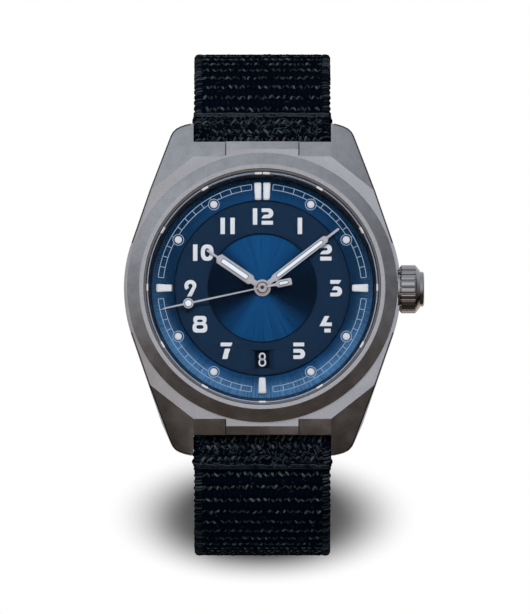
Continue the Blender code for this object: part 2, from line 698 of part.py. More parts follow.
def make_dial():
    """Dial plate and raised numeral ring, pierced by one flared date window, and the applied markers."""
    half = (WINDOW_WIDTH / 2, WINDOW_HEIGHT / 2)
    window = block("date_window", (-half[0], WINDOW_Y - half[1], DIAL_BASE_Z - SEAL_GAP),
                   (half[0], WINDOW_Y + half[1], RING_Z + SEAL_GAP), flare=WINDOW_FLARE)
    dial = plate("dial", [circle(DIAL_RADIUS, 48), circle(HOUR_PIPE + PIPE_ROOM, 16)], DIAL_BASE_Z, DIAL_Z)
    low = DIAL_Z + SEAT
    ring = plate("numeral_ring", [circle(RING_OUTER, 56), circle(RING_INNER, 40)], low, RING_Z)
    cut(dial, window)
    cut(ring, window)
    top, end = low + MARKER_HEIGHT, MARKER_INNER + MARKER_LENGTH
    bar = mirrored([(MARKER_WIDTH * MARKER_TAPER / 2, MARKER_INNER), (MARKER_WIDTH / 2, end)])
    markers = []
    for hour in (3, 6, 9):
        markers.append(plate(f"marker_{hour}", [bar], low, top, tilt=(0, 0, -TURN * hour / 12)))
    near, far = TWIN_GAP / 2, TWIN_GAP / 2 + TWIN_WIDTH
    twin = [(near, MARKER_INNER), (far - TWIN_TAPER, MARKER_INNER), (far, end), (near, end)]
    for name, side in (("marker_12_left", -1), ("marker_12_right", 1)):
        markers.append(plate(name, [[(side * x, y) for x, y in twin]], low, top))
    return dial, ring, markers


def baton(name, low, angle, hub, hole, neck, width, needle, base, end, tip, window, window_width):
    """Baton hand with a needle tip, pointing at a clock angle, and the lume in its window."""
    turn = {"tilt": (0, 0, -angle)}
    right = arc(hub, HUB_START - math.pi / 2, math.pi / 2 - math.asin(neck / 2 / hub), 12)
    right += [(neck / 2, base), (width / 2, base + BATON_SHOULDER), (width / 2, end - BATON_POINT),
              (needle / 2, end), (needle / 2, tip - NEEDLE_POINT), (NEEDLE_TIP, tip)]
    opening = rectangle(window_width, *window)
    fill = rectangle(window_width - 2 * SLIP, window[0] + SLIP, window[1] - SLIP)
    hand = plate(name, [mirrored(right), circle(hole, 20), opening], low, low + HAND_THICKNESS, **turn)
    lume = plate(name + "_lume", [fill], low - SLIP, low + HAND_THICKNESS + SLIP, **turn)
    return hand, lume


def make_seconds():
    """Seconds hand with a lume disc near its tip and a lume paddle on its tail."""
    turn = {"tilt": (0, 0, -SECONDS_ANGLE)}
    disc, hub, needle = (0, SECONDS_DISC_AT), SECONDS_HUB, SECONDS_NEEDLE
    tail, neck, wide = SECONDS_TAIL, TAIL_NECK, TAIL_HALF
    lean = math.asin(needle / SECONDS_DISC)
    right = [(wide - TAIL_CORNER, -tail), (wide, TAIL_CORNER - tail), (wide, TAIL_PADDLE - tail),
             (neck, TAIL_PADDLE + TAIL_SHOULDER - tail)]
    right += arc(hub, -math.pi / 2 + math.asin(neck / hub), math.pi / 2 - math.asin(needle / hub), 10)
    right += arc(SECONDS_DISC, -math.pi / 2 + lean, math.pi / 2 - lean, 12, disc)
    right += [(x, SECONDS_DISC_AT + y) for x, y in SECONDS_POINT]
    low, high = SECONDS_HAND_Z, SECONDS_HAND_Z + HAND_THICKNESS
    lume_disc, paddle = SECONDS_DISC - SECONDS_DISC_RIM, [y - tail for y in TAIL_LUME]
    hand = plate("seconds_hand", [mirrored(right), circle(PIVOT + SLIP, 12), circle(lume_disc, 16, disc),
                                  rectangle(TAIL_LUME_WIDTH, *paddle)], low, high, **turn)
    fills = {"seconds_disc_lume": circle(lume_disc - SLIP, 16, disc),
             "seconds_tail_lume": rectangle(TAIL_LUME_WIDTH - 2 * SLIP, paddle[0] + SLIP, paddle[1] - SLIP)}
    return hand, [plate(name, [fill], low - SLIP, high + SLIP, **turn) for name, fill in fills.items()]


def make_hands():
    """Hour, minute and seconds hands and their lume."""
    hour = baton("hour_hand", HOUR_HAND_Z, HOUR_ANGLE, HOUR_PIPE + HOUR_HUB_RIM, HOUR_PIPE + SLIP,
                 **HOUR_SHAPE)
    minute = baton("minute_hand", MINUTE_HAND_Z, MINUTE_ANGLE, CANNON_PIPE + MINUTE_HUB_RIM,
                   CANNON_PIPE + SLIP, **MINUTE_SHAPE)
    seconds, seconds_lume = make_seconds()
    return [hour[0], minute[0], seconds], [hour[1], minute[1], *seconds_lume]


def make_crown():
    """Fluted crown over its tube, with the stem, its seal and the sliding pinion on the stem's square."""
    here = {"at": (0, 0, STEM_Z), "tilt": ALONG_X}
    cap, knurl, base = CROWN_CAP_RADIUS, CROWN_RADIUS, CROWN_BASE
    shoulder = base + CROWN_KNURL
    rim = shoulder + CROWN_SLOPE
    end = rim + CROWN_CAP
    crown = turned("crown", [(0, end), (cap - CROWN_CAP_EDGE, end), (cap, end - CROWN_EDGE), (cap, rim),
                             (knurl, shoulder), (knurl, base + CROWN_EDGE), (knurl - CROWN_EDGE, base),
                             (0, base)], 2 * FLUTES, **here)
    pitch, grooves = TURN / FLUTES, []
    for i in range(FLUTES):
        grooves += [polar(knurl + depth, (i + share) * pitch) for share, depth in FLUTE_SHAPE]
    floor = shoulder - CROWN_WALL
    outside = circle(knurl + OVERCUT, 2 * FLUTES)
    cut(crown, plate("flute_cutter", [outside, grooves], base - OVERCUT, rim - FLUTE_END, **here),
        rod("tube_room", TUBE_RADIUS + TUBE_SPACE, base - OVERCUT, floor, 20, **here),
        rod("stem_socket", STEM_RADIUS + ARBOR_ROOM, base, floor + SOCKET_DEPTH, 12, **here))
    square = STEM_INNER + PILOT_LENGTH
    square_end = square + SQUARE_LENGTH
    half = STEM_SQUARE / 2
    stem = rod("winding_stem", STEM_RADIUS, square_end - STEM_LAP, floor + SOCKET_DEPTH - SEAL_GAP, 12,
               **here)
    fuse(stem, block("stem_square", (-half, -half, square), (half, half, square_end), **here),
         rod("stem_pilot", half - PILOT_STEP, STEM_INNER, square + STEM_LAP, 8, **here))
    tube_end = base + TUBE_PROUD
    tube = plate("crown_tube", [circle(TUBE_RADIUS, 16), circle(STEM_RADIUS + PIPE_ROOM, 16)], BORE_RADIUS,
                 tube_end, **here)
    inner = TUBE_RADIUS + SEAL_STEP
    seal = plate("crown_gasket", [circle(inner + SEAL_WALL, 16), circle(inner, 16)], base + SEAL_GAP,
                 tube_end - SEAL_GAP, **here)
    ease = half + SEAT
    leaves = teeth(PINION_TEETH, 2 * (STEM_RADIUS + PINION_WALL) / PINION_TEETH, 0)
    pinion = plate("sliding_pinion", [leaves, rectangle(2 * ease, -ease, ease)], PINION_AT,
                   PINION_AT + PINION_LENGTH, **here)
    return crown, stem, tube, seal, pinion


def make_back():
    """Screw-in case back with key notches, and its flat gasket."""
    seat, wall, rim = BACK_THICKNESS, BORE_RADIUS - BACK_ROOM, BACK_SEAT_RADIUS - BACK_ROOM
    top = seat + BACK_WALL_HEIGHT
    back = turned("case_back", [(0, seat), (wall - BACK_WALL, seat), (wall - BACK_WALL, top), (wall, top),
                                (wall, seat), (rim, seat), (rim, BACK_EDGE), (rim - BACK_EDGE, 0),
                                (0, 0)], 40)
    half, end = NOTCH_WIDTH / 2, rim - NOTCH_INSET
    for i in range(NOTCHES):
        cut(back, block("key_notch", (-half, end - NOTCH_LENGTH, -OVERCUT), (half, end, NOTCH_DEPTH),
                        tilt=(0, 0, TURN * (i + 0.5) / NOTCHES)))
    inner = BORE_RADIUS + BACK_GASKET_STEP
    gasket = plate("case_back_gasket", [circle(rim - SEAL_GAP, 28), circle(inner, 28)], seat + SEAT,
                   BACK_SEAT_Z - SEAT)
    return back, gasket


def bridge(name, start, end, inner, pivots, parts=14):
    """Bridge: a sector plate with a foot along its rim that stands on the main plate."""
    outer = PLATE_RADIUS - BRIDGE_INSET
    holes = [circle(radius, 8, centre) for radius, centre in pivots]
    piece = plate(name, [sector(inner, outer, start, end, parts), *holes], BRIDGE_Z, TRAIN_Z)
    foot = sector(outer - FOOT_WIDTH, outer - FOOT_EDGE, start + FOOT_TURN, end - FOOT_TURN, parts)
    return fuse(piece, plate(name + "_foot", [foot], TRAIN_Z - FOOT_SINK, PLATE_Z - SEAT))


def make_frame():
    """Main plate, bridges, balance cock and the ring that holds the movement in the case."""
    barrel = polar(BARREL_DISTANCE, BARREL_DIRECTION)
    third = polar(TRAIN_DISTANCE, THIRD_DIRECTION)
    escape = polar(ESCAPE_DISTANCE, ESCAPE_DIRECTION)
    balance = polar(BALANCE_DISTANCE, BALANCE_DIRECTION)
    minute = polar(MOTION_DISTANCE, MINUTE_DIRECTION)
    pivot, arbor = PIVOT + RUN, BARREL_ARBOR + RUN
    holes = [circle(CENTRE_ARBOR + RUN + ARBOR_ROOM, 12), circle(arbor, 10, barrel)]
    holes += [circle(pivot, 8, centre) for centre in (third, escape, pallet_centre(), balance)]
    main = plate("main_plate", [circle(PLATE_RADIUS, 40), *holes], PLATE_Z, PLATE_TOP_Z)
    reach = STEM_RADIUS + CHANNEL_ROOM
    channel = block("stem_channel", (STEM_INNER - CHANNEL_END, -reach, STEM_Z - CHANNEL_DROP),
                    (PLATE_RADIUS + OVERCUT, reach, PLATE_TOP_Z + OVERCUT))
    cut(main, rod("motion_recess", RECESS_RADIUS, RECESS_Z, PLATE_TOP_Z + OVERCUT, 32), channel)
    fuse(main, rod("minute_post", POST_RADIUS, RECESS_Z - POST_SINK, RECESS_Z + POST_HEIGHT, 10,
                   at=(*minute, 0)))
    train = bridge("train_bridge", *TRAIN_BRIDGE_ARC, TRAIN_BRIDGE_INNER, [(pivot, third), (pivot, escape)],
                   20)
    cut(train, channel)
    cover = bridge("barrel_bridge", *BARREL_BRIDGE_ARC, BARREL_BRIDGE_INNER, [(arbor, barrel)])
    cock = bridge("balance_cock", BALANCE_DIRECTION - COCK_HALF_ARC, BALANCE_DIRECTION + COCK_HALF_ARC,
                  BALANCE_DISTANCE - COCK_REACH, [(pivot, balance)], 8)
    stud = polar(BALANCE_DISTANCE + SPRING_OUTER + SPRING_WIDTH / 2 + STUD_RADIUS + STUD_GAP,
                 BALANCE_DIRECTION)
    fuse(cock, rod("stud", STUD_RADIUS, TRAIN_Z - FOOT_SINK, TRAIN_Z + STUD_HEIGHT, 10, at=(*stud, 0)))
    holder = plate("holder_ring", [circle(BORE_RADIUS - HOLDER_ROOM, 32),
                                   circle(PLATE_RADIUS + HOLDER_GAP, 32)],
                   BACK_THICKNESS + BACK_WALL_HEIGHT + HOLDER_GAP, DIAL_BASE_Z - SEAL_GAP)
    cut(holder, rod("stem_hole", STEM_RADIUS + PINION_WALL, PLATE_RADIUS - OVERCUT, BORE_RADIUS + OVERCUT, 12,
                    at=(0, 0, STEM_Z), tilt=ALONG_X))
    return main, train, cover, cock, holder


def pallet_centre():
    """Pallet arbor, on the line from the escape wheel to the balance."""
    start = Vector(polar(ESCAPE_DISTANCE, ESCAPE_DIRECTION))
    way = Vector(polar(BALANCE_DISTANCE, BALANCE_DIRECTION)) - start
    return tuple(start + way.normalized() * PALLET_REACH)


def make_train():
    """Barrel and going train, each wheel fused with its pinion and arbor."""
    barrel_at = (*polar(BARREL_DISTANCE, BARREL_DIRECTION), 0)
    third_at = (*polar(TRAIN_DISTANCE, THIRD_DIRECTION), 0)
    escape_at = (*polar(ESCAPE_DISTANCE, ESCAPE_DIRECTION), 0)
    inward, wheel = math.pi, WHEEL_THICKNESS
    pivots = (BRIDGE_Z + PIVOT_INSET, PLATE_Z + PIVOT_DEPTH)
    level = TRAIN_Z + BARREL_LEVEL
    drum = BARREL_MODULE * (BARREL_TEETH / 2 - TOOTH_ROOT) - DRUM_INSET
    rim = teeth(BARREL_TEETH, BARREL_MODULE, BARREL_DIRECTION + inward)
    barrel = plate("barrel", [rim], level, level + 2 * wheel, at=barrel_at)
    fuse(barrel, rod("drum", drum, TRAIN_Z + DRUM_LEVEL, level + wheel, 32, at=barrel_at),
         rod("barrel_arbor", BARREL_ARBOR, *pivots, 10, at=barrel_at))
    level = TRAIN_Z + CENTRE_LEVEL
    rim = teeth(CENTRE_TEETH, CENTRE_MODULE, THIRD_DIRECTION)
    leaves = teeth(CENTRE_LEAVES, BARREL_MODULE, BARREL_DIRECTION, gap=True)
    centre = plate("centre_wheel", [rim], level, level + wheel)
    fuse(centre, plate("centre_pinion", [leaves], level - CENTRE_PINION, level + wheel / 2),
         rod("centre_arbor", CENTRE_ARBOR, level - CENTRE_PINION - ARBOR_ROOM, MINUTE_HAND_Z - SEAT, 12))
    cut(centre, rod("centre_bore", PIVOT + RUN, level - OVERCUT, MINUTE_HAND_Z + OVERCUT, 10))
    rim = teeth(THIRD_TEETH, THIRD_MODULE, THIRD_DIRECTION + inward)
    leaves = teeth(THIRD_LEAVES, CENTRE_MODULE, THIRD_DIRECTION + inward, gap=True)
    low, high = (level + reach for reach in THIRD_PINION)
    third = plate("third_wheel", [rim], TRAIN_Z + THIRD_LEVEL, TRAIN_Z + THIRD_LEVEL + wheel, at=third_at)
    fuse(third, plate("third_pinion", [leaves], low, high, at=third_at),
         rod("third_arbor", PIVOT, *pivots, 8, at=third_at))
    level = TRAIN_Z + FOURTH_LEVEL
    low, high = (level + reach for reach in FOURTH_PINION)
    rim = teeth(FOURTH_TEETH, ESCAPE_MODULE, ESCAPE_DIRECTION)
    leaves = teeth(FOURTH_LEAVES, THIRD_MODULE, THIRD_DIRECTION, gap=True)
    fourth = plate("fourth_wheel", [rim], level, level + wheel)
    fuse(fourth, plate("fourth_pinion", [leaves], low, high),
         rod("seconds_arbor", PIVOT, level - FOURTH_TAIL, SECONDS_HAND_Z + HAND_THICKNESS + SECONDS_PROUD, 8))
    low, high = (level + reach for reach in ESCAPE_PINION)
    leaves = teeth(ESCAPE_LEAVES, ESCAPE_MODULE, ESCAPE_DIRECTION + inward, gap=True)
    escape = plate("escape_wheel", [escape_outline()], PALLET_Z, PALLET_Z + wheel, at=escape_at)
    fuse(escape, plate("escape_pinion", [leaves], low, high, at=escape_at),
         rod("escape_arbor", PIVOT, *pivots, 8, at=escape_at))
    return barrel, centre, third, fourth, escape


def escape_outline():
    """Club-tooth outline of the escape wheel."""
    pitch, outline = TURN / ESCAPE_TEETH, []
    for i in range(ESCAPE_TEETH):
        outline += [polar(ESCAPE_RADIUS * depth, (i + share) * pitch) for share, depth in CLUB_TOOTH]
    return outline


def make_regulator():
    """Pallet fork, balance with its staff and roller, and the hairspring coil."""
    centre, balance_at = pallet_centre(), polar(BALANCE_DISTANCE, BALANCE_DIRECTION)
    way = Vector(centre) - Vector(balance_at)
    lean = math.atan2(way.y, way.x) - math.pi / 2
    fork = ROLLER_RADIUS + FORK_GAP - way.length
    right = [(x, fork + y) for x, y in FORK_HORNS] + list(PALLET_ARMS)
    level = PALLET_Z
    pallet = plate("pallet_fork", [[(0, fork + FORK_NOTCH), *mirrored(right)]], level,
                   level + WHEEL_THICKNESS, at=(*centre, 0), tilt=(0, 0, lean))
    fuse(pallet, rod("pallet_arbor", PIVOT, level - PALLET_TAIL, PLATE_Z + PIVOT_DEPTH, 8, at=(*centre, 0)))
    at = (*balance_at, 0)
    gaps = []
    for start in (BALANCE_ARMS, BALANCE_ARMS + math.pi):
        gaps.append(sector(BALANCE_HUB, BALANCE_RADIUS - BALANCE_RIM, start + BALANCE_ARM_ANGLE,
                           start + math.pi - BALANCE_ARM_ANGLE, 12))
    low = TRAIN_Z + BALANCE_LEVEL
    balance = plate("balance_wheel", [circle(BALANCE_RADIUS, 28), *gaps], low, low + BALANCE_HEIGHT, at=at)
    fuse(balance, rod("staff", PIVOT, BRIDGE_Z + PIVOT_INSET, PLATE_Z + PIVOT_DEPTH, 8, at=at),
         rod("roller", ROLLER_RADIUS, level - SLIP, level + WHEEL_THICKNESS, 12, at=at))
    outer, inner, steps = [], [], SPRING_TURNS * 12
    for i in range(steps + 1):
        angle = BALANCE_DIRECTION + (i / steps - 1) * SPRING_TURNS * TURN
        radius = SPRING_INNER + (SPRING_OUTER - SPRING_INNER) * i / steps
        outer.append(polar(radius + SPRING_WIDTH / 2, angle))
        inner.append(polar(radius - SPRING_WIDTH / 2, angle))
    low = TRAIN_Z + SPRING_LEVEL
    spring = plate("hairspring", [outer + inner[::-1]], low, low + SPRING_HEIGHT, at=at)
    return pallet, balance, spring


def make_motion_work():
    """Cannon pinion, minute wheel and hour wheel under the dial, and the date disc."""
    low, size, wheel, inward = RECESS_Z, MOTION_MODULE, WHEEL_THICKNESS, math.pi
    at = (*polar(MOTION_DISTANCE, MINUTE_DIRECTION), 0)
    leaves = teeth(CANNON_LEAVES, size, MINUTE_DIRECTION, gap=True)
    cannon = plate("cannon_pinion", [leaves], low + CANNON_LEVEL, low + CANNON_LEVEL + CANNON_HEIGHT)
    top = MINUTE_HAND_Z + HAND_THICKNESS + CANNON_PROUD
    fuse(cannon, rod("cannon_pipe", CANNON_PIPE, low + SEAT, top, 16))
    cut(cannon, rod("cannon_bore", CENTRE_ARBOR + CANNON_ROOM, low - OVERCUT, CRYSTAL_TOP_Z, 12))
    rim = teeth(MINUTE_TEETH, size, MINUTE_DIRECTION + inward)
    leaves = teeth(MINUTE_LEAVES, size, MINUTE_DIRECTION + inward, gap=True)
    minute = plate("minute_wheel", [rim], low + MINUTE_LEVEL, low + MINUTE_LEVEL + wheel, at=at)
    fuse(minute, plate("minute_pinion", [leaves], *(low + reach for reach in MINUTE_PINION), at=at))
    cut(minute, rod("minute_bore", POST_RADIUS + ARBOR_ROOM, low - OVERCUT, low + OVERCUT, 10, at=at))
    level = low + HOUR_LEVEL
    hour = plate("hour_wheel", [teeth(HOUR_TEETH, size, MINUTE_DIRECTION)], level, level + wheel)
    fuse(hour, rod("hour_pipe", HOUR_PIPE, level - SLIP, HOUR_HAND_Z + HAND_THICKNESS + HOUR_PROUD, 16))
    cut(hour, rod("hour_bore", CANNON_PIPE + HOUR_ROOM, low - OVERCUT, CRYSTAL_TOP_Z, 16))
    inner = []
    for i in range(DATES):
        inner += [polar(DATE_INNER, TURN * i / DATES),
                  polar(DATE_INNER + DATE_TOOTH, TURN * (i + 0.5) / DATES)]
    date = plate("date_disc", [circle(DATE_OUTER, 40), inner], PLATE_TOP_Z + SEAT, PLATE_TOP_Z + DATE_HEIGHT)
    return cannon, minute, hour, date


def make_rotor():
    """Winding rotor with a heavy rim, hanging toward six o'clock, on its bearing post."""
    low, hole, rim = ROTOR_Z, BEARING_RADIUS + BEARING_ROOM, ROTOR_RADIUS - ROTOR_RIM
    web = sector(hole + ROTOR_LAP, rim + ROTOR_LAP, *ROTOR_ARC)
    rotor = plate("rotor", [web], *(low + reach for reach in ROTOR_WEB))
    fuse(rotor, plate("rotor_hub", [circle(ROTOR_HUB, 20), circle(hole, 16)],
                      *(low + reach for reach in ROTOR_HUB_SPAN)),
         plate("rotor_rim", [sector(rim, ROTOR_RADIUS, *ROTOR_ARC)], low, low + ROTOR_RIM_HEIGHT))
    post, flange, top = BEARING_RADIUS, BEARING_RADIUS + BEARING_FLANGE, BRIDGE_Z - SEAT
    upper, lower = (low - reach for reach in FLANGE_SPAN)
    bearing = turned("rotor_bearing", [(0, top), (post, top), (post, upper), (flange, upper), (flange, lower),
                                       (0, lower)], 16)
    return rotor, bearing


def strap_point(s):
    """Bench Y and Z, and heading, at a distance along a strap half from its spring bar."""
    if s <= LOOP_FRONT * LOOP_SWEEP:
        angle = LOOP_SWEEP - s / LOOP_FRONT
        spot = polar(LOOP_FRONT, angle)
        return LOOP_MIDDLE + spot[0], LOOP_Z + spot[1], angle - math.pi / 2
    run = s - LOOP_FRONT * LOOP_SWEEP
    if run <= LOOP_STRAIGHT:
        return LOOP_RISE, LOOP_Z - run, -math.pi / 2
    angle = (LOOP_STRAIGHT - run) / LOOP_RISE
    spot = polar(LOOP_RISE, angle)
    return spot[0], LOOP_Z - LOOP_STRAIGHT + spot[1], angle - math.pi / 2


def strap_spot(s):
    """Place and tilt, with Y along the strap and Z out of it, for a piece that sits on the strap."""
    y, z, heading = strap_point(s)
    return {"at": (0, y, z), "tilt": (heading, 0, 0)}


def across_strap(s):
    """Place and tilt, with Z across the strap, for a pin through it."""
    return {"at": strap_spot(s)["at"], "tilt": ALONG_X}


def profile_spot(s):
    """Place and tilt, with X along the strap and Y out of it, for a side profile."""
    spot = strap_spot(s)
    lean = Matrix.Rotation(spot["tilt"][0], 3, "X") @ Matrix(((0, 0, 1), (1, 0, 0), (0, 1, 0)))
    return {"at": spot["at"], "tilt": lean.to_euler()}


def strap_half_width(s):
    """Half the strap's width at a distance from its spring bar."""
    share = min(max((s - NARROW_FROM) / (NARROW_TO - NARROW_FROM), 0), 1)
    return (STRAP_WIDTH + (END_WIDTH - STRAP_WIDTH) * share) / 2


def make_strap(name, length, parent):
    """Strap half: a band along the loop that narrows to the buckle, thicker at the fold round its bar."""
    front = LOOP_FRONT * LOOP_SWEEP
    marks = [front * i / 12 for i in range(13)] + [front + LOOP_STRAIGHT, NARROW_FROM, NARROW_TO]
    parts = math.ceil((length - NARROW_TO) / SEGMENT)
    marks += [NARROW_TO + (length - NARROW_TO) * (i + 1) / parts for i in range(parts)]
    shape, rings = bmesh.new(), []
    for s in marks:
        y, z, heading = strap_point(s)
        half, wide = STRAP_THICKNESS / 2 + STRAP_FOLD * math.exp(-(s / FOLD_LENGTH) ** 2), strap_half_width(s)
        out = Vector((0, -math.sin(heading) * half, math.cos(heading) * half))
        spot = Vector((0, y - BAR_Y, z - BAR_Z))
        across = Vector((wide, 0, 0))
        corners = (spot + across + out, spot + across - out, spot - across - out, spot - across + out)
        rings.append([shape.verts.new(corner) for corner in corners])
    for near, far in zip(rings, rings[1:]):
        for i in range(4):
            shape.faces.new((near[i], near[i - 1], far[i - 1], far[i]))
    shape.faces.new(rings[0])
    shape.faces.new(rings[-1][::-1])
    bmesh.ops.recalc_face_normals(shape, faces=shape.faces)
    bar = {"at": (0, BAR_Y, BAR_Z), "tilt": ALONG_X, "parent": parent}
    half = STRAP_WIDTH / 2
    strap = solid(name, shape, at=(0, BAR_Y, BAR_Z), parent=parent)
    fuse(strap, rod(name + "_eye", EYE_RADIUS, -half, half, 18, **bar))
    cut(strap, rod(name + "_bore", BAR_RADIUS + BAR_SLIP, -half - OVERCUT, half + OVERCUT, 14, **bar))
    return strap


def make_straps(six_side):
    """Buckle half, holed tail half and their spring bars."""
    half, over = END_WIDTH / 2, OVERCUT
    short = make_strap("strap_12", SHORT_LENGTH, None)
    pin = across_strap(SHORT_LENGTH)
    slot = TONGUE_WIDTH / 2 + SLOT_ROOM
    fuse(short, rod("buckle_eye", BUCKLE_EYE, -half, half, 16, **pin))
    cut(short, rod("buckle_bore", BUCKLE_PIN_RADIUS + BAR_SLIP, -half - over, half + over, 14, **pin),
        block("tongue_slot", (-slot, -SLOT_DEPTH, -over), (slot, over, over), **strap_spot(SHORT_LENGTH)))
    tail = make_strap("strap_6", LONG_LENGTH, six_side)
    steps = [math.pi / 2 * i / 8 for i in range(9)]
    point = [(half * math.cos(a), TIP_LENGTH * (math.sin(a) - 1)) for a in steps]
    edge = half + over
    across = [(-x, y) for x, y in reversed(point[:-1])]
    outline = [(edge, -TIP_LENGTH), *point, *across, (-edge, -TIP_LENGTH), (-edge, over), (edge, over)]
    cut(tail, plate("tip_cutter", [outline], -over, over, **strap_spot(LONG_LENGTH), parent=six_side))
    for i in range(HOLES):
        spot = strap_spot(LONG_LENGTH - FIRST_HOLE - i * HOLE_PITCH)
        cut(tail, rod("strap_hole", HOLE_RADIUS, -over, over, 10, **spot, parent=six_side))
    bars = []
    for name, parent in (("spring_bar_12", None), ("spring_bar_6", six_side)):
        where = {**across_strap(0), "parent": parent}
        tip, end = LUG_WALL + BAR_TIP_LENGTH, STRAP_WIDTH / 2 - BAR_END
        bar = rod(name, BAR_RADIUS, -end, end, 10, **where)
        bars.append(fuse(bar, rod(name + "_tips", BAR_TIP_RADIUS, -tip, tip, 8, **where)))
    return short, tail, bars


def make_buckle():
    """Pin buckle on its bar, with its tongue."""
    here, pin = strap_spot(SHORT_LENGTH), across_strap(SHORT_LENGTH)
    window, thick, far, near = END_WIDTH / 2 + BUCKLE_EASE, BUCKLE_THICKNESS / 2, BUCKLE_LENGTH, -BUCKLE_HEEL
    wide, corner, inner = window + BUCKLE_ARM, BUCKLE_CORNER, BUCKLE_INNER_CORNER
    right = [(window, near), (wide, near), *arc(corner, 0, math.pi / 2, 6, (wide - corner, far - corner))]
    left = [(-x, y) for x, y in reversed(right)]
    bar_y = far - BUCKLE_BAR - inner
    hollow = arc(inner, math.pi, math.pi / 2, 4, (inner - window, bar_y))
    hollow += arc(inner, math.pi / 2, 0, 4, (window - inner, bar_y))
    frame = plate("buckle_frame", [right + left + hollow], -thick, thick, **here)
    bore, end = wide - BUCKLE_PIN_CAP, wide - BUCKLE_PIN_END
    cut(frame, rod("frame_bore", BUCKLE_PIN_RADIUS + BUCKLE_PIN_ROOM, -bore, bore, 14, **pin))
    bar = rod("buckle_bar", BUCKLE_PIN_RADIUS, -end, end, 14, **pin)
    lift, bend = thick + TONGUE_LIFT, far - BUCKLE_BAR - TONGUE_BEND
    top = lift + TONGUE_THICKNESS
    waist = TONGUE_THICKNESS / 2
    low_end, high_end = (far + over for over in TONGUE_OVER)
    profile = [(0, -waist), (bend, lift), (low_end, lift), (high_end, top), (bend - TONGUE_KNEE, top),
               (0, waist)]
    half = TONGUE_WIDTH / 2
    tongue = plate("buckle_tongue", [profile], -half, half, **profile_spot(SHORT_LENGTH))
    fuse(tongue, rod("tongue_eye", BUCKLE_PIN_RADIUS + TONGUE_EYE, -half, half, 16, **pin))
    cut(tongue, rod("tongue_bore", BUCKLE_PIN_RADIUS + BAR_SLIP, -half - OVERCUT, half + OVERCUT, 14, **pin))
    return frame, bar, tongue


def make_keepers():
    """Two loops on the buckle half, with room for the tail over the strap."""
    half, low = END_WIDTH / 2 + KEEPER_EASE, -STRAP_THICKNESS / 2 - KEEPER_ROOM
    high = STRAP_THICKNESS / 2 + STRAP_THICKNESS + KEEPER_ROOM
    hole = rectangle(2 * half, low, high)
    loop = rectangle(2 * (half + KEEPER_WALL), low - KEEPER_WALL, high + KEEPER_WALL)
    keepers = []
    for name, s in (("fixed_keeper", FIXED_KEEPER_AT), ("sliding_keeper", SLIDING_KEEPER_AT)):
        spot = strap_spot(s)
        keepers.append(plate(name, [loop, hole], -KEEPER_LENGTH / 2, KEEPER_LENGTH / 2, at=spot["at"],
                             tilt=(spot["tilt"][0] + math.pi / 2, 0, 0)))
    return keepers


def build():
    """Make every piece and give it its finish."""
    six_side = empty("six_side", WATCH, (0, 0, math.pi))
    bezel, crystal, crystal_gasket, rehaut = make_crystal_side()
    dial, ring, markers = make_dial()
    hands, hand_lume = make_hands()
    crown, stem, tube, seal, pinion = make_crown()
    back, back_gasket = make_back()
    main, train, cover, cock, holder = make_frame()
    wheels = make_train()
    pallet, balance, spring = make_regulator()
    cannon, minute, hour, date = make_motion_work()
    rotor, bearing = make_rotor()
    short, tail, bars = make_straps(six_side)
    frame, bar, tongue = make_buckle()
    dress(finish("blasted titanium", (0.30, 0.31, 0.33), 0.42, 1.0),
          make_case(), bezel, back, crown, frame, tongue, *make_keepers())
    dress(finish("steel", (0.55, 0.55, 0.56), 0.25, 1.0), *hands, *bars, bar, stem, tube, pinion, rehaut,
          pallet, cannon, bearing, spring, rotor)
    dress(finish("brass", (0.72, 0.53, 0.24), 0.3, 1.0), *wheels, balance, minute, hour, main, train, cover,
          cock)
    dress(finish("rubber", (0.02, 0.02, 0.02), 0.7), crystal_gasket, back_gasket, seal)
    dress(finish("sapphire", (0.95, 0.97, 1.0), 0.02, clear=1.0), crystal)
    dress(finish("blue dial", (0.015, 0.06, 0.15), 0.35, 0.6), dial)
    dress(finish("navy ring", (0.01, 0.02, 0.045), 0.6), ring, date)
    dress(finish("lume", (0.8, 0.86, 0.88), 0.5), *markers, *hand_lume)
    dress(finish("nylon webbing", (0.008, 0.011, 0.018), 0.9), short, tail)
    dress(finish("holder resin", (0.03, 0.03, 0.035), 0.6), holder)


for leftover in list(bpy.data.objects):
    bpy.data.objects.remove(leftover)
PARTS = collection("wristwatch")
CUTTERS = collection("cutters")
WATCH = empty("watch", turn=(math.pi / 2, 0, 0))
build()
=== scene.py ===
"""Field watch on a two-piece textile strap: the finishes, the dial work, the woven strap and the studio.

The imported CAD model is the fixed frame.  Each sub-assembly class builds its pieces in mesh code, dresses
them and lets them ride on the frame's bodies.  Sizes are dataclass fields in millimetres and MM turns them
into the frame's metres.  Dial work is drawn from the front in (x, z); a height is measured from the case
back towards the viewer, so a height h lies at world y = -h.
"""
from __future__ import annotations

import json
import logging
import math
from dataclasses import dataclass, field
from enum import Enum
from typing import Any, Sequence

import bmesh
import bpy
import numpy as np
from mathutils import Matrix, Vector

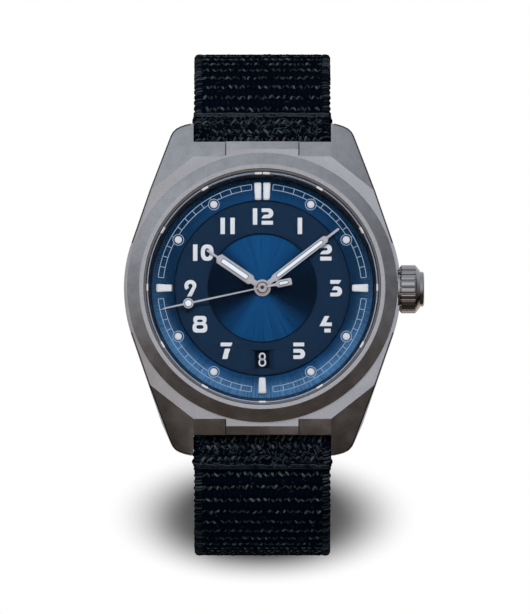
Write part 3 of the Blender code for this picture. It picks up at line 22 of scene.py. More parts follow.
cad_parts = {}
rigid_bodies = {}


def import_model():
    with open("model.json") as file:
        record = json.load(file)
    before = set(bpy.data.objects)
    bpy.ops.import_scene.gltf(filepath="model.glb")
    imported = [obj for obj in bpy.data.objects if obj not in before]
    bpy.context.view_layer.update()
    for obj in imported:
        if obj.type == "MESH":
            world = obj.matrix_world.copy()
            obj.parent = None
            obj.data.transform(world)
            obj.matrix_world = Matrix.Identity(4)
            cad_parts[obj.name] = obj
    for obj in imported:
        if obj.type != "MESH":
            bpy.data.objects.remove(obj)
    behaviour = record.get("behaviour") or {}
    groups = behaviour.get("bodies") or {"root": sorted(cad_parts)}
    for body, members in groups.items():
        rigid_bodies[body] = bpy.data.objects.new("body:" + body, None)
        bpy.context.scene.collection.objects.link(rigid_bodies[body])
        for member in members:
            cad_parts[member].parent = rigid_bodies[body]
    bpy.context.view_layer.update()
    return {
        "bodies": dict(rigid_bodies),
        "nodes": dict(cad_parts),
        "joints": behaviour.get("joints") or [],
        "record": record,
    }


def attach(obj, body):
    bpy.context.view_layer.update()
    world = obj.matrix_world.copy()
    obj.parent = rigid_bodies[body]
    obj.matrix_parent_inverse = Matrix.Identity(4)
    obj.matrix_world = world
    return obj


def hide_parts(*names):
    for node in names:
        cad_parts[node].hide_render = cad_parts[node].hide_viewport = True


LOG = logging.getLogger("field_watch")

MM = 0.001
TURN = 2 * math.pi
FRONT = Matrix.Rotation(math.pi / 2, 4, "X")
# Point attribute for the painted highlight on yarn
CREST = "crest"
# Distances in metres within which points are joined
PLATE_MERGE = 1e-7
NODE_MERGE = 1e-6
# Faces that meet flatter than the first angle are joined; edges sharper than the second are eased
FLAT_ANGLE = math.radians(1)
SHARP_ANGLE = 28.0
ROUND_STEPS = 240
# Degrees round the dial
QUARTER = 90
HOUR = 30
MINUTE = 6
UP = (0.0, 0.0, 1.0)
ALONG = (1.0, 0.0, 0.0)

Colour = tuple[float, float, float]
Spot = tuple[float, float, float]
Pair = tuple[float, float]
Point = tuple[float, float]
Loop = list[Point]
Range = tuple[float, float, float, float]
Piece = bpy.types.Object
Socket = bpy.types.NodeSocket
Array = np.ndarray


class Body(str, Enum):
    """The frame's bodies that carry new pieces."""

    CASE = "case"
    SECONDS = "seconds"
    MINUTES = "minutes"
    HOURS = "hours"
    DATE = "date_disc"
    CROWN = "crown"
    STRAP_12 = "strap_12"
    STRAP_6 = "strap_6"
    BUCKLE = "buckle_frame"
    TONGUE = "buckle_tongue"
    SLIDER = "sliding_keeper"


class Slot(str, Enum):
    """The record's material slots."""

    TITANIUM = "titanium"
    STEEL = "steel"
    BRASS = "brass"
    RUBBER = "rubber"
    SAPPHIRE = "sapphire"
    DIAL_BLUE = "dial_blue"
    RING_NAVY = "ring_navy"
    LUME = "lume"
    WEBBING = "webbing"
    RESIN = "holder_resin"


class Side(Enum):
    """Which end of the case a strap half hangs from, as the sign of its world x and z."""

    TWELVE = 1
    SIX = -1


def arc(radius: float, start: float, end: float, count: int, centre: Point = (0.0, 0.0)) -> Loop:
    """Points along a circular arc, both ends included.

    Args:
        radius: Radius in millimetres.
        start: First angle in degrees.
        end: Last angle in degrees.
        count: Number of points.
        centre: Middle of the arc.

    Returns:
        The points in order.
    """
    angles = np.radians(np.linspace(start, end, count))
    return [(centre[0] + radius * math.cos(a), centre[1] + radius * math.sin(a)) for a in angles]


def oval(width: float, height: float, count: int, centre: Point = (0.0, 0.0), power: float = 2.0) -> Loop:
    """Points round an oval; a power above 2 squares it off.

    Args:
        width: Half width in millimetres.
        height: Half height in millimetres.
        count: Number of points.
        centre: Middle of the oval.
        power: Exponent of the oval's equation.

    Returns:
        The closed outline without its repeated first point.
    """
    points = []
    for i in range(count):
        angle = TURN * i / count
        c, s = math.cos(angle), math.sin(angle)
        x = math.copysign(abs(c) ** (2 / power), c) * width
        y = math.copysign(abs(s) ** (2 / power), s) * height
        points.append((centre[0] + x, centre[1] + y))
    return points


def circle(radius: float, count: int = ROUND_STEPS, centre: Point = (0.0, 0.0)) -> Loop:
    """Points round a circle."""
    return oval(radius, radius, count, centre)


def box(left: float, right: float, low: float, high: float, lean: float = 0.0) -> Loop:
    """Outline of a bar whose right end may lean; lean shortens the low edge."""
    return [(left, low), (right - lean, low), (right, high), (left, high)]


def rounded(outline: Loop, radius: float, count: int = 5) -> Loop:
    """Round the corners of a closed outline.

    Args:
        outline: Corner points in order.
        radius: Corner radius in millimetres.
        count: Points on each corner.

    Returns:
        The outline with each corner replaced by a short curve.
    """
    points: Loop = []
    for i, corner in enumerate(outline):
        here = Vector(corner)
        before = Vector(outline[i - 1]) - here
        after = Vector(outline[(i + 1) % len(outline)]) - here
        half = before.angle(after) / 2
        reach = min(radius / math.tan(half), before.length / 2, after.length / 2)
        start = here + before.normalized() * reach
        end = here + after.normalized() * reach
        for t in np.linspace(0, 1, count):
            spot = start * (1 - t) ** 2 + here * (2 * t * (1 - t)) + end * t ** 2
            points.append((spot.x, spot.y))
    return points


def shifted(outline: Loop, at: Point) -> Loop:
    """Move an outline."""
    return [(x + at[0], y + at[1]) for x, y in outline]


def stretched(outline: Loop, across: float, up: float, rise: float) -> Loop:
    """Scale an outline across and up, then lift it."""
    return [(x * across, rise + y * up) for x, y in outline]


def swung(outline: Loop, clock: float) -> Loop:
    """Turn an outline clockwise about the dial's middle by a clock angle in degrees."""
    c, s = math.cos(math.radians(clock)), math.sin(math.radians(clock))
    return [(x * c + y * s, y * c - x * s) for x, y in outline]


class NodeSheet:
    """Shorthand for adding and wiring the nodes of one tree."""

    MIX_COLOURS = (6, 7)
    MIX_RESULT = 2

    def __init__(self, tree: bpy.types.NodeTree) -> None:
        """Keep the tree to work on."""
        self.tree = tree

    def add(self, kind: str, **settings: Any) -> bpy.types.Node:
        """Add a node and set its options.

        Args:
            kind: Node type.
            **settings: Node properties to set.

        Returns:
            The new node.
        """
        node = self.tree.nodes.new(kind)
        for name, value in settings.items():
            setattr(node, name, value)
        return node

    def feed(self, socket: Socket, value: Any) -> None:
        """Link another socket to an input, or set a plain value on it.

        Args:
            socket: The input.
            value: Socket or plain value.
        """
        if isinstance(value, Socket):
            self.tree.links.new(value, socket)
        else:
            socket.default_value = value

    def wired(self, kind: str, inputs: dict[Any, Any], **settings: Any) -> Any:
        """Add a node and feed its inputs.

        Args:
            kind: Node type.
            inputs: Sockets or plain values by the name or number of the input.
            **settings: Node properties to set.

        Returns:
            The node's outputs.
        """
        node = self.add(kind, **settings)
        for name, value in inputs.items():
            self.feed(node.inputs[name], value)
        return node.outputs

    def maths(self, operation: str, *values: Any, clamp: bool = False) -> Socket:
        """Add a Math node; clamp keeps its result between 0 and 1."""
        return self.wired("ShaderNodeMath", dict(enumerate(values)), operation=operation, use_clamp=clamp)[0]

    def level(self, value: Any, low: float, high: float, start: float = 0.0, end: float = 1.0) -> Socket:
        """Map a value smoothly, so that low gives start and high gives end."""
        inputs = dict(enumerate((value, low, high, start, end)))
        return self.wired("ShaderNodeMapRange", inputs, interpolation_type="SMOOTHSTEP")[0]

    def length(self, first: Any, second: Any) -> Socket:
        """Length of a vector with two components."""
        squares = [self.maths("MULTIPLY", value, value) for value in (first, second)]
        return self.maths("SQRT", self.maths("ADD", *squares))

    def parts(self, vector: Any) -> Sequence[Socket]:
        """Split a vector into x, y and z."""
        return self.wired("ShaderNodeSeparateXYZ", {0: vector})

    def scaled(self, vector: Any, factor: Any) -> Socket:
        """Scale a vector or a colour."""
        return self.wired("ShaderNodeVectorMath", {0: vector, "Scale": factor}, operation="SCALE")[0]

    def blend(self, factor: Any, first: Any, second: Any) -> Socket:
        """Mix two colours.

        Args:
            factor: Share of the second colour.
            first: Colour or socket at factor 0.
            second: Colour or socket at factor 1.

        Returns:
            The mixed colour.
        """
        ends = ((*value, 1.0) if isinstance(value, tuple) else value for value in (first, second))
        inputs = {0: factor, **dict(zip(self.MIX_COLOURS, ends))}
        return self.wired("ShaderNodeMix", inputs, data_type="RGBA")[self.MIX_RESULT]

    def noise(self, vector: Any, scale: float, detail: float = 2.0) -> Socket:
        """Add a Noise Texture."""
        return self.wired("ShaderNodeTexNoise", {"Vector": vector, "Scale": scale, "Detail": detail})[0]

    def bump(self, height: Any, distance: float) -> Socket:
        """Add a Bump node whose distance is in millimetres."""
        return self.wired("ShaderNodeBump", {"Strength": 1.0, "Distance": distance * MM, "Height": height})[0]

    def place(self, group: bpy.types.NodeTree, **values: float) -> Any:
        """Place a node group with its own input values and return its outputs."""
        return self.wired("ShaderNodeGroup", values, node_tree=group)

    def spot(self) -> Socket:
        """Object coordinates."""
        return self.add("ShaderNodeTexCoord").outputs["Object"]


class Effects:
    """Shader node groups that several finishes share."""

    FINE_DETAIL = 3.0
    TONE_DETAIL = 4.0
    TONE_SCALE = 0.12
    RAY_DRIFT = 60.0
    PATCH_SCALE = 900.0
    PROUD = 0.52

    def __init__(self) -> None:
        """Build each group once."""
        self.grain = self._grain()
        self.rays = self._rays()
        self.wear = self._wear()

    @staticmethod
    def _group(name: str, given: str, outputs: Sequence[str]) -> tuple[NodeSheet, Socket]:
        """Start a node group.

        Args:
            name: Name of the group.
            given: Name of its number input.
            outputs: Names of its number outputs.

        Returns:
            The sheet to draw on and the input's socket.
        """
        tree = bpy.data.node_groups.new(name, "ShaderNodeTree")
        tree.interface.new_socket(name=given, in_out="INPUT", socket_type="NodeSocketFloat")
        for socket in outputs:
            tree.interface.new_socket(name=socket, in_out="OUTPUT", socket_type="NodeSocketFloat")
        sheet = NodeSheet(tree)
        return sheet, sheet.add("NodeGroupInput").outputs[given]

    def _grain(self) -> bpy.types.NodeTree:
        """Fine all-over grain: a height for bumps and a slower tone; Size is the grain in millimetres.

        Returns:
            The group's tree.
        """
        sheet, size = self._group("surface_grain", "Size", ("Height", "Tone"))
        place = sheet.scaled(sheet.spot(), sheet.maths("DIVIDE", 1 / MM, size))
        height = sheet.noise(place, 1.0, self.FINE_DETAIL)
        tone = sheet.noise(place, self.TONE_SCALE, self.TONE_DETAIL)
        sheet.wired("NodeGroupOutput", {"Height": height, "Tone": tone})
        return sheet.tree

    def _rays(self) -> bpy.types.NodeTree:
        """Lines that run out from the dial's axis; Lines sets how fine they are.

        Returns:
            The group's tree.
        """
        sheet, lines = self._group("radial_lines", "Lines", ("Streak", "Radius", "Across", "Up"))
        x, _, z = sheet.parts(sheet.spot())
        radius = sheet.length(x, z)
        across, up = sheet.maths("DIVIDE", x, radius), sheet.maths("DIVIDE", z, radius)
        spread = [sheet.maths("MULTIPLY", value, lines) for value in (across, up)]
        spread.append(sheet.maths("MULTIPLY", radius, self.RAY_DRIFT))
        place = sheet.wired("ShaderNodeCombineXYZ", dict(enumerate(spread)))[0]
        sheet.wired("NodeGroupOutput", {
            "Streak": sheet.noise(place, 1.0, self.FINE_DETAIL),
            "Radius": sheet.maths("DIVIDE", radius, MM),
            "Across": sheet.maths("ABSOLUTE", across),
            "Up": up,
        })
        return sheet.tree

    def _wear(self) -> bpy.types.NodeTree:
        """Mask of the proud edges, broken up by noise; Reach widens it.

        Returns:
            The group's tree.
        """
        sheet, reach = self._group("edge_wear", "Reach", ("Mask",))
        point = sheet.add("ShaderNodeNewGeometry").outputs["Pointiness"]
        patch = sheet.noise(sheet.spot(), self.PATCH_SCALE, self.TONE_DETAIL)
        raised = sheet.maths("MULTIPLY", sheet.maths("SUBTRACT", point, self.PROUD), reach, clamp=True)
        sheet.wired("NodeGroupOutput", {"Mask": sheet.maths("MULTIPLY", raised, patch, clamp=True)})
        return sheet.tree


def shade(colour: Colour, factor: float) -> Colour:
    """Scale a colour."""
    return (colour[0] * factor, colour[1] * factor, colour[2] * factor)


class MaterialSheet(NodeSheet):
    """The nodes of one new material, with its shader at hand."""

    MIDDLE = (0.3, 0.7)

    def __init__(self, name: str, effects: Effects | None = None) -> None:
        """Start the material with its Principled BSDF.

        Args:
            name: Name of the material.
            effects: Shared node groups.
        """
        self.effects = effects
        self.material = bpy.data.materials.new(name)
        self.material.use_nodes = True
        super().__init__(self.material.node_tree)
        self.shader = self.tree.nodes["Principled BSDF"]

    def drive(self, **values: Any) -> None:
        """Link or set inputs of the shader; an underscore in a name stands for a space."""
        for name, value in values.items():
            self.feed(self.shader.inputs[name.replace("_", " ")], value)

    def around(self, value: Any, middle: float, reach: float) -> Socket:
        """Map the middle of a noise to values round a number."""
        return self.level(value, *self.MIDDLE, middle - reach, middle + reach)


@dataclass(frozen=True)
class Finish:
    """A material's name and its plain shader values."""

    name: str
    colour: Colour
    roughness: float

    def start(self, effects: Effects | None = None) -> MaterialSheet:
        """Make the material with its plain values.

        Args:
            effects: Shared node groups.

        Returns:
            The sheet with its nodes.
        """
        sheet = MaterialSheet(self.name, effects)
        sheet.drive(Base_Color=(*self.colour, 1.0), Roughness=self.roughness)
        sheet.material.diffuse_color = (*self.colour, 1.0)
        return sheet

    def build(self, effects: Effects) -> bpy.types.Material:
        """Make the material.

        Args:
            effects: Shared node groups.

        Returns:
            The finished material.
        """
        sheet = self.start(effects)
        self.vary(sheet)
        return sheet.material

    def vary(self, sheet: MaterialSheet) -> None:
        """Wire what changes over the surface; a plain finish has nothing to wire."""


@dataclass(frozen=True)
class Grained(Finish):
    """A finish with fine grain and a slow change of tone."""

    grain: float = 0.1
    depth: float = 0.006
    tone: float = 0.1
    mix: float = 0.7
    uneven: float = 0.05

    def mottled(self, sheet: MaterialSheet) -> Socket:
        """Wire the grain's roughness and bump.

        Args:
            sheet: The material's nodes.

        Returns:
            The mottled colour.
        """
        grain = sheet.place(sheet.effects.grain, Size=self.grain)
        height, tone = grain["Height"], grain["Tone"]
        mixed = sheet.maths("MULTIPLY_ADD", height, self.mix, sheet.maths("MULTIPLY", tone, 1 - self.mix))
        sheet.drive(Roughness=sheet.around(tone, self.roughness, self.uneven))
        sheet.drive(Normal=sheet.bump(height, self.depth))
        dark, light = shade(self.colour, 1 - self.tone), shade(self.colour, 1 + self.tone)
        return sheet.blend(sheet.level(mixed, *sheet.MIDDLE), dark, light)


@dataclass(frozen=True)
class Metal(Grained):
    """Blasted, satin or polished metal with grain, tone and worn edges."""

    grain: float = 0.08
    depth: float = 0.01
    tone: float = 0.08
    mix: float = 0.5
    uneven: float = 0.04
    wear: float = 0.25
    wear_reach: float = 12.0
    wear_shine: float = 1.5

    def vary(self, sheet: MaterialSheet) -> None:
        """Wire the grain, the tone and the brighter edges.

        Args:
            sheet: The material's nodes.
        """
        mask = sheet.place(sheet.effects.wear, Reach=self.wear_reach)["Mask"]
        worn = sheet.maths("MULTIPLY", mask, self.wear)
        colour = sheet.blend(worn, self.mottled(sheet), shade(self.colour, self.wear_shine))
        sheet.drive(Metallic=1.0, Base_Color=colour)


@dataclass(frozen=True)
class Brushed(Finish):
    """Lacquered metal brushed outward from the dial's axis, with painted light: bright fans, and a rim
    painted dark at the top and brighter below.
    """

    # dark is painted shade on the fans' sides and the rim's top, and also the brushed lines' colour; low is
    # painted light on the rim's bottom
    dark: Colour = (0.0, 0.0, 0.0)
    low: Colour = (0.0, 0.0, 0.0)
    # fan: where the bright fans give way to painted shade at the sides; slope: radii over which the painted
    # rim takes over
    fan: Pair = (0.45, 0.98)
    slope: Pair = (13.2, 16.0)
    metallic: float = 0.5
    gloss: float = 0.04
    lines: float = 60.0
    contrast: float = 0.42
    streak_band: Pair = (0.35, 0.65)
    streak_shade: float = 0.8
    # Painted light on the rim: how it grows from the top towards the bottom
    lift_span: Pair = (0.95, -0.95)
    lift_power: float = 2.1
    uneven: float = 0.06
    grain: float = 0.12
    grain_share: float = 0.15
    depth: float = 0.012

    def vary(self, sheet: MaterialSheet) -> None:
        """Wire the painted fans of light, the rim's painted shade and light, and the brushed lines.

        Args:
            sheet: The material's nodes.
        """
        rays = sheet.place(sheet.effects.rays, Lines=self.lines)
        across, up, radius, streak = (rays[name] for name in ("Across", "Up", "Radius", "Streak"))
        grain = sheet.place(sheet.effects.grain, Size=self.grain)["Height"]
        # Painted highlight: the colour at top and bottom, painted shade at the sides
        fan = sheet.blend(sheet.level(across, *self.fan), self.colour, self.dark)
        # Painted shade at the rim's top and painted light at its bottom
        lift = sheet.maths("POWER", sheet.level(up, *self.lift_span), self.lift_power)
        rim = sheet.blend(lift, self.dark, self.low)
        colour = sheet.blend(sheet.level(radius, *self.slope), fan, rim)
        line = sheet.level(streak, *self.streak_band, 0.0, self.contrast)
        height = sheet.maths("MULTIPLY_ADD", grain, self.grain_share, streak)
        sheet.drive(Metallic=self.metallic, Specular_IOR_Level=self.gloss,
                    Base_Color=sheet.blend(line, colour, shade(self.dark, self.streak_shade)),
                    Roughness=sheet.around(streak, self.roughness, self.uneven),
                    Normal=sheet.bump(height, self.depth))


@dataclass(frozen=True)
class Paint(Grained):
    """Lacquer, print, lume, rubber or resin: a grained, slightly uneven coat."""

    gloss: float = 0.3

    def vary(self, sheet: MaterialSheet) -> None:
        """Wire the uneven coat."""
        sheet.drive(Specular_IOR_Level=self.gloss, Base_Color=self.mottled(sheet))


@dataclass(frozen=True)
class Glass(Finish):
    """Coated crystal that shows the dial with hardly any reflection."""

    index: float = 1.08
    grain: float = 2.5
    haze_band: Pair = (0.3, 0.8)
    haze: float = 0.012

    def vary(self, sheet: MaterialSheet) -> None:
        """Wire the clear glass and its faint haze.

        Args:
            sheet: The material's nodes.
        """
        tone = sheet.place(sheet.effects.grain, Size=self.grain)["Tone"]
        haze = sheet.level(tone, *self.haze_band, self.roughness, self.roughness + self.haze)
        sheet.drive(Transmission_Weight=1.0, IOR=self.index, Roughness=haze)


@dataclass(frozen=True)
class Cloth(Finish):
    """Woven yarn: dark between the knots, with painted highlight on their crests, and fine fibres."""

    # Colour of the painted highlight on the crests
    crest: Colour = (0.03, 0.04, 0.05)
    fibre: float = 0.09
    fibre_light: Range = (0.3, 0.6, 0.35, 1.0)
    smooth: float = 0.12
    depth: float = 0.05

    def vary(self, sheet: MaterialSheet) -> None:
        """Wire the crests' painted highlight and the fibres.

        Args:
            sheet: The material's nodes.
        """
        fibre = sheet.place(sheet.effects.grain, Size=self.fibre)["Height"]
        crest = sheet.add("ShaderNodeAttribute", attribute_name=CREST).outputs["Fac"]
        lit = sheet.maths("MULTIPLY", crest, sheet.level(fibre, *self.fibre_light))
        rough = sheet.level(fibre, *sheet.MIDDLE, self.roughness - self.smooth, self.roughness)
        sheet.drive(Specular_IOR_Level=0.0, Base_Color=sheet.blend(lit, self.colour, self.crest),
                    Roughness=rough, Normal=sheet.bump(fibre, self.depth))


class Palette:
    """Every finish on the watch, built once."""

    TITANIUM = Metal("blasted_titanium", (0.47, 0.475, 0.49), 0.42, grain=0.2, depth=0.022, tone=0.13)
    CROWN_TITANIUM = Metal("crown_titanium", (0.4, 0.395, 0.4), 0.2, grain=0.2, depth=0.002, tone=0.03)
    BACK_TITANIUM = Metal("back_titanium", (0.46, 0.46, 0.48), 0.34, grain=0.3, depth=0.006)
    SATIN_STEEL = Metal("satin_steel", (0.52, 0.51, 0.54), 0.34, grain=0.06, depth=0.004)
    POLISHED_STEEL = Metal("polished_steel", (0.5, 0.5, 0.52), 0.2, grain=0.1, depth=0.002)
    # Painted shade: a dark metal for the flange ring, the lug edges, the block's grooves and the seconds pin,
    # where shade falls
    DARK_FLANGE = Metal("dark_flange", (0.085, 0.074, 0.07), 0.5, grain=0.3, depth=0.0005, tone=0.03)
    # Painted reflection: a bluish line that stands in for a reflection of the blue dial
    FLANGE_EDGE = Metal("flange_edge", (0.3, 0.37, 0.5), 0.3, grain=0.3, depth=0.0005, tone=0.03)
    BRIGHT_STEEL = Metal("bright_steel", (0.76, 0.76, 0.77), 0.3, grain=0.1, depth=0.002, tone=0.04)
    DARK_STEEL = Metal("dark_steel", (0.11, 0.105, 0.12), 0.35, grain=0.1, depth=0.002, tone=0.04)
    BRONZE = Metal("sleeve_bronze", (0.2, 0.13, 0.075), 0.25, grain=0.1, depth=0.002)
    BRASS = Metal("plated_brass", (0.72, 0.53, 0.24), 0.32, grain=0.2, depth=0.004)
    RHODIUM = Metal("rhodium_plate", (0.55, 0.54, 0.52), 0.3, grain=0.35, depth=0.004)
    # Painted light on both dial blues: fans painted bright above and below and dark at the sides; the outer
    # ring's rim painted dark at the top and bright below
    SUNBURST = Brushed("sunburst_blue", (0.0048, 0.075, 0.225), 0.34, dark=(0.0005, 0.0055, 0.017),
                       lines=48.0)
    OUTER_BLUE = Brushed("brushed_blue", (0.007, 0.056, 0.16), 0.4, dark=(0.003, 0.022, 0.058),
                         low=(0.09, 0.26, 0.53), fan=(0.5, 1.08), lines=70.0)
    NAVY = Paint("matte_navy", (0.0075, 0.0225, 0.052), 0.62, grain=0.12, depth=0.02, tone=0.25, gloss=0.02)
    LUME = Paint("white_lume", (0.66, 0.68, 0.72), 0.5, grain=0.1, depth=0.008, tone=0.04)
    HAND_LUME = Paint("hand_lume", (0.76, 0.84, 0.9), 0.45, grain=0.12, depth=0.004, tone=0.04)
    PRINT = Paint("pale_print", (0.32, 0.44, 0.58), 0.5, grain=0.1, depth=0.003, tone=0.08)
    DATE_INK = Paint("date_ink", (0.62, 0.66, 0.7), 0.5, grain=0.1, depth=0.003, tone=0.05)
    DATE_BLACK = Paint("date_black", (0.002, 0.005, 0.012), 0.55, grain=0.15, depth=0.004, gloss=0.02)
    SEAL_NYLON = Paint("seal_nylon", (0.13, 0.125, 0.122), 0.5, grain=0.15, depth=0.004)
    RUBBER = Paint("seal_rubber", (0.012, 0.012, 0.013), 0.6, grain=0.15, depth=0.006)
    RESIN = Paint("moulded_resin", (0.03, 0.03, 0.035), 0.55, grain=0.25, depth=0.008)
    CRYSTAL = Glass("coated_sapphire", (0.985, 0.992, 1.0), 0.0)
    # The crest colours are painted highlight on the raised yarn
    WEBBING = Cloth("ribbed_nylon", (0.0008, 0.0018, 0.005), 0.8, crest=(0.006, 0.01, 0.017))
    BINDING = Cloth("binding_yarn", (0.002, 0.0034, 0.0062), 0.6, crest=(0.088, 0.112, 0.13))

    def __init__(self) -> None:
        """Build the shared effects; materials follow when they are first used."""
        self.effects = Effects()
        self.built: dict[str, bpy.types.Material] = {}

    def get(self, finish: Finish) -> bpy.types.Material:
        """Return the material of a finish, built on first use.

        Args:
            finish: One of the palette's finishes.

        Returns:
            The shared material.
        """
        if finish.name not in self.built:
            self.built[finish.name] = finish.build(self.effects)
        return self.built[finish.name]


class MeshPile:
    """Collects small solids in millimetres into one mesh."""

    def __init__(self) -> None:
        """Start empty."""
        self.points: list[Spot] = []
        self.faces: list[list[int]] = []

    def tube(self, rings: Sequence[Sequence[Spot]], closed: bool = False) -> None:
        """Skin a row of rings with equal numbers of points.

        Args:
            rings: The rings in order.
            closed: Whether the last ring meets the first; otherwise both ends are capped.
        """
        start, size = len(self.points), len(rings[0])
        for ring in rings:
            self.points.extend(ring)
        for i in range(len(rings) if closed else len(rings) - 1):
            a, b = start + i * size, start + (i + 1) % len(rings) * size
            for j in range(size):
                k = (j + 1) % size
                self.faces.append([a + j, a + k, b + k, b + j])
        if not closed:
            last = start + (len(rings) - 1) * size
            self.faces.append(list(range(start, start + size))[::-1])
            self.faces.append(list(range(last, last + size)))

    def ribbon(self, path: Loop, width: float, low: float, high: float, closed: bool = False) -> None:
        """Flat line on the dial, following a path drawn from the front.

        Args:
            path: Points of the line's middle.
            width: Width of the line.
            low: Height of its underside.
            high: Height of its top.
            closed: Whether the line closes on itself.
        """
        spots = [Vector(p) for p in path]
        rings = []
        for i, spot in enumerate(spots):
            before = spots[i - 1] if closed or i else spot
            after = spots[(i + 1) % len(spots)] if closed or i < len(spots) - 1 else spot
            along = (after - before).normalized()
            side = Vector((-along.y, along.x)) * (width / 2)
            a, b = spot + side, spot - side
            rings.append([(a.x, -low, a.y), (a.x, -high, a.y), (b.x, -high, b.y), (b.x, -low, b.y)])
        self.tube(rings, closed)

    def piece(self, name: str) -> Piece:
        """Make the object."""
        return solid(name, np.array(self.points), self.faces)


def face_out(mesh: bpy.types.Mesh, merge: float = 0.0) -> None:
    """Turn a mesh's faces outward.

    Args:
        mesh: The mesh.
        merge: Distance in metres within which points are joined first; 0 leaves them.
    """
    shape = bmesh.new()
    shape.from_mesh(mesh)
    if merge:
        bmesh.ops.remove_doubles(shape, verts=shape.verts, dist=merge)
    bmesh.ops.recalc_face_normals(shape, faces=shape.faces)
    shape.to_mesh(mesh)
    shape.free()


def link(name: str, mesh: bpy.types.Mesh) -> Piece:
    """Put a mesh in the scene.

    Args:
        name: Object name.
        mesh: Its mesh.

    Returns:
        The new object.
    """
    piece = bpy.data.objects.new(name, mesh)
    bpy.context.scene.collection.objects.link(piece)
    return piece


def solid(name: str, points: Array, faces: list[list[int]], crests: Array | None = None) -> Piece:
    """Make an object with its faces pointing outward.

    Args:
        name: Object name.
        points: Points in millimetres.
        faces: Faces as point numbers.
        crests: How pale each point is, for yarn, as painted highlight.

    Returns:
        The linked object.
    """
    mesh = bpy.data.meshes.new(name)
    mesh.from_pydata((points * MM).tolist(), [], faces)
    if crests is not None:
        values = mesh.attributes.new(CREST, "FLOAT", "POINT")
        values.data.foreach_set("value", crests.astype(np.float32))
    face_out(mesh)
    return link(name, mesh)


def cut_away(piece: Piece, cutter: Piece) -> None:
    """Take a cutter's shape out of a piece for good.

    Args:
        piece: The piece to cut.
        cutter: The shape to take out, which is removed afterwards.
    """
    step = piece.modifiers.new("cut", "BOOLEAN")
    step.operation = "DIFFERENCE"
    step.solver = "EXACT"
    step.object = cutter
    bpy.context.view_layer.update()
    left = bpy.data.meshes.new_from_object(piece.evaluated_get(bpy.context.evaluated_depsgraph_get()))
    piece.modifiers.remove(step)
    piece.data = left
    bpy.data.objects.remove(cutter)


def plate(name: str, loops: Sequence[Loop], low: float, high: float, ease: float = 0.0) -> Piece:
    """Flat piece on the dial: closed outlines, the inner ones holes, with eased edges.

    Args:
        name: Object name.
        loops: Outlines drawn from the front.
        low: Height of the underside.
        high: Height of the top.
        ease: Size of the rounded edge.

    Returns:
        The linked object.
    """
    curve = bpy.data.curves.new(name, "CURVE")
    curve.dimensions = "2D"
    curve.fill_mode = "BOTH"
    curve.extrude = (high - low) / 2 - ease
    curve.bevel_depth = ease
    curve.bevel_resolution = 1
    curve.offset = -ease
    for loop in loops:
        spline = curve.splines.new("POLY")
        spline.points.add(len(loop) - 1)
        for point, (x, y) in zip(spline.points, loop):
            point.co = (x, y, 0, 1)
        spline.use_cyclic_u = True
    sketch = bpy.data.objects.new(name, curve)
    mesh = bpy.data.meshes.new_from_object(sketch)
    mesh.transform(FRONT @ Matrix.Scale(MM, 4) @ Matrix.Translation((0, 0, (low + high) / 2)))
    bpy.data.objects.remove(sketch)
    bpy.data.curves.remove(curve)
    face_out(mesh, PLATE_MERGE)
    return link(name, mesh)


def turned(name: str, profile: Loop, steps: int = ROUND_STEPS, ring: bool = True) -> Piece:
    """Piece turned about the dial's axis.

    Args:
        name: Object name.
        profile: Points as (radius, height).
        steps: Number of steps round the axis.
        ring: Whether the profile closes on itself; otherwise it starts and ends on the axis.

    Returns:
        The linked object.
    """
    pile = MeshPile()
    angles = np.linspace(0, TURN, steps, endpoint=False)
    if ring:
        rings = [[(r * math.cos(a), -h, r * math.sin(a)) for r, h in profile] for a in angles]
        pile.tube(rings, closed=True)
    else:
        inner = profile[1:-1]
        pile.tube([[(r * math.cos(a), -h, r * math.sin(a)) for a in angles] for r, h in inner])
    return pile.piece(name)


def soften(piece: Piece, width: float, segments: int = 2, angle: float = SHARP_ANGLE) -> Piece:
    """Ease the sharp edges of a piece and shade it smooth.

    Args:
        piece: The piece.
        width: Width of the eased edge in millimetres; 0 leaves the edges.
        segments: Steps across the edge.
        angle: Edges sharper than this, in degrees, are eased.

    Returns:
        The same piece.
    """
    piece.data.shade_smooth()
    if width:
        bevel = piece.modifiers.new("eased_edges", "BEVEL")
        bevel.width = width * MM
        bevel.segments = segments
        bevel.limit_method = "ANGLE"
        bevel.angle_limit = math.radians(angle)
        bevel.harden_normals = True
    else:
        piece.data.set_sharp_from_angle(angle=math.radians(angle))
    return piece


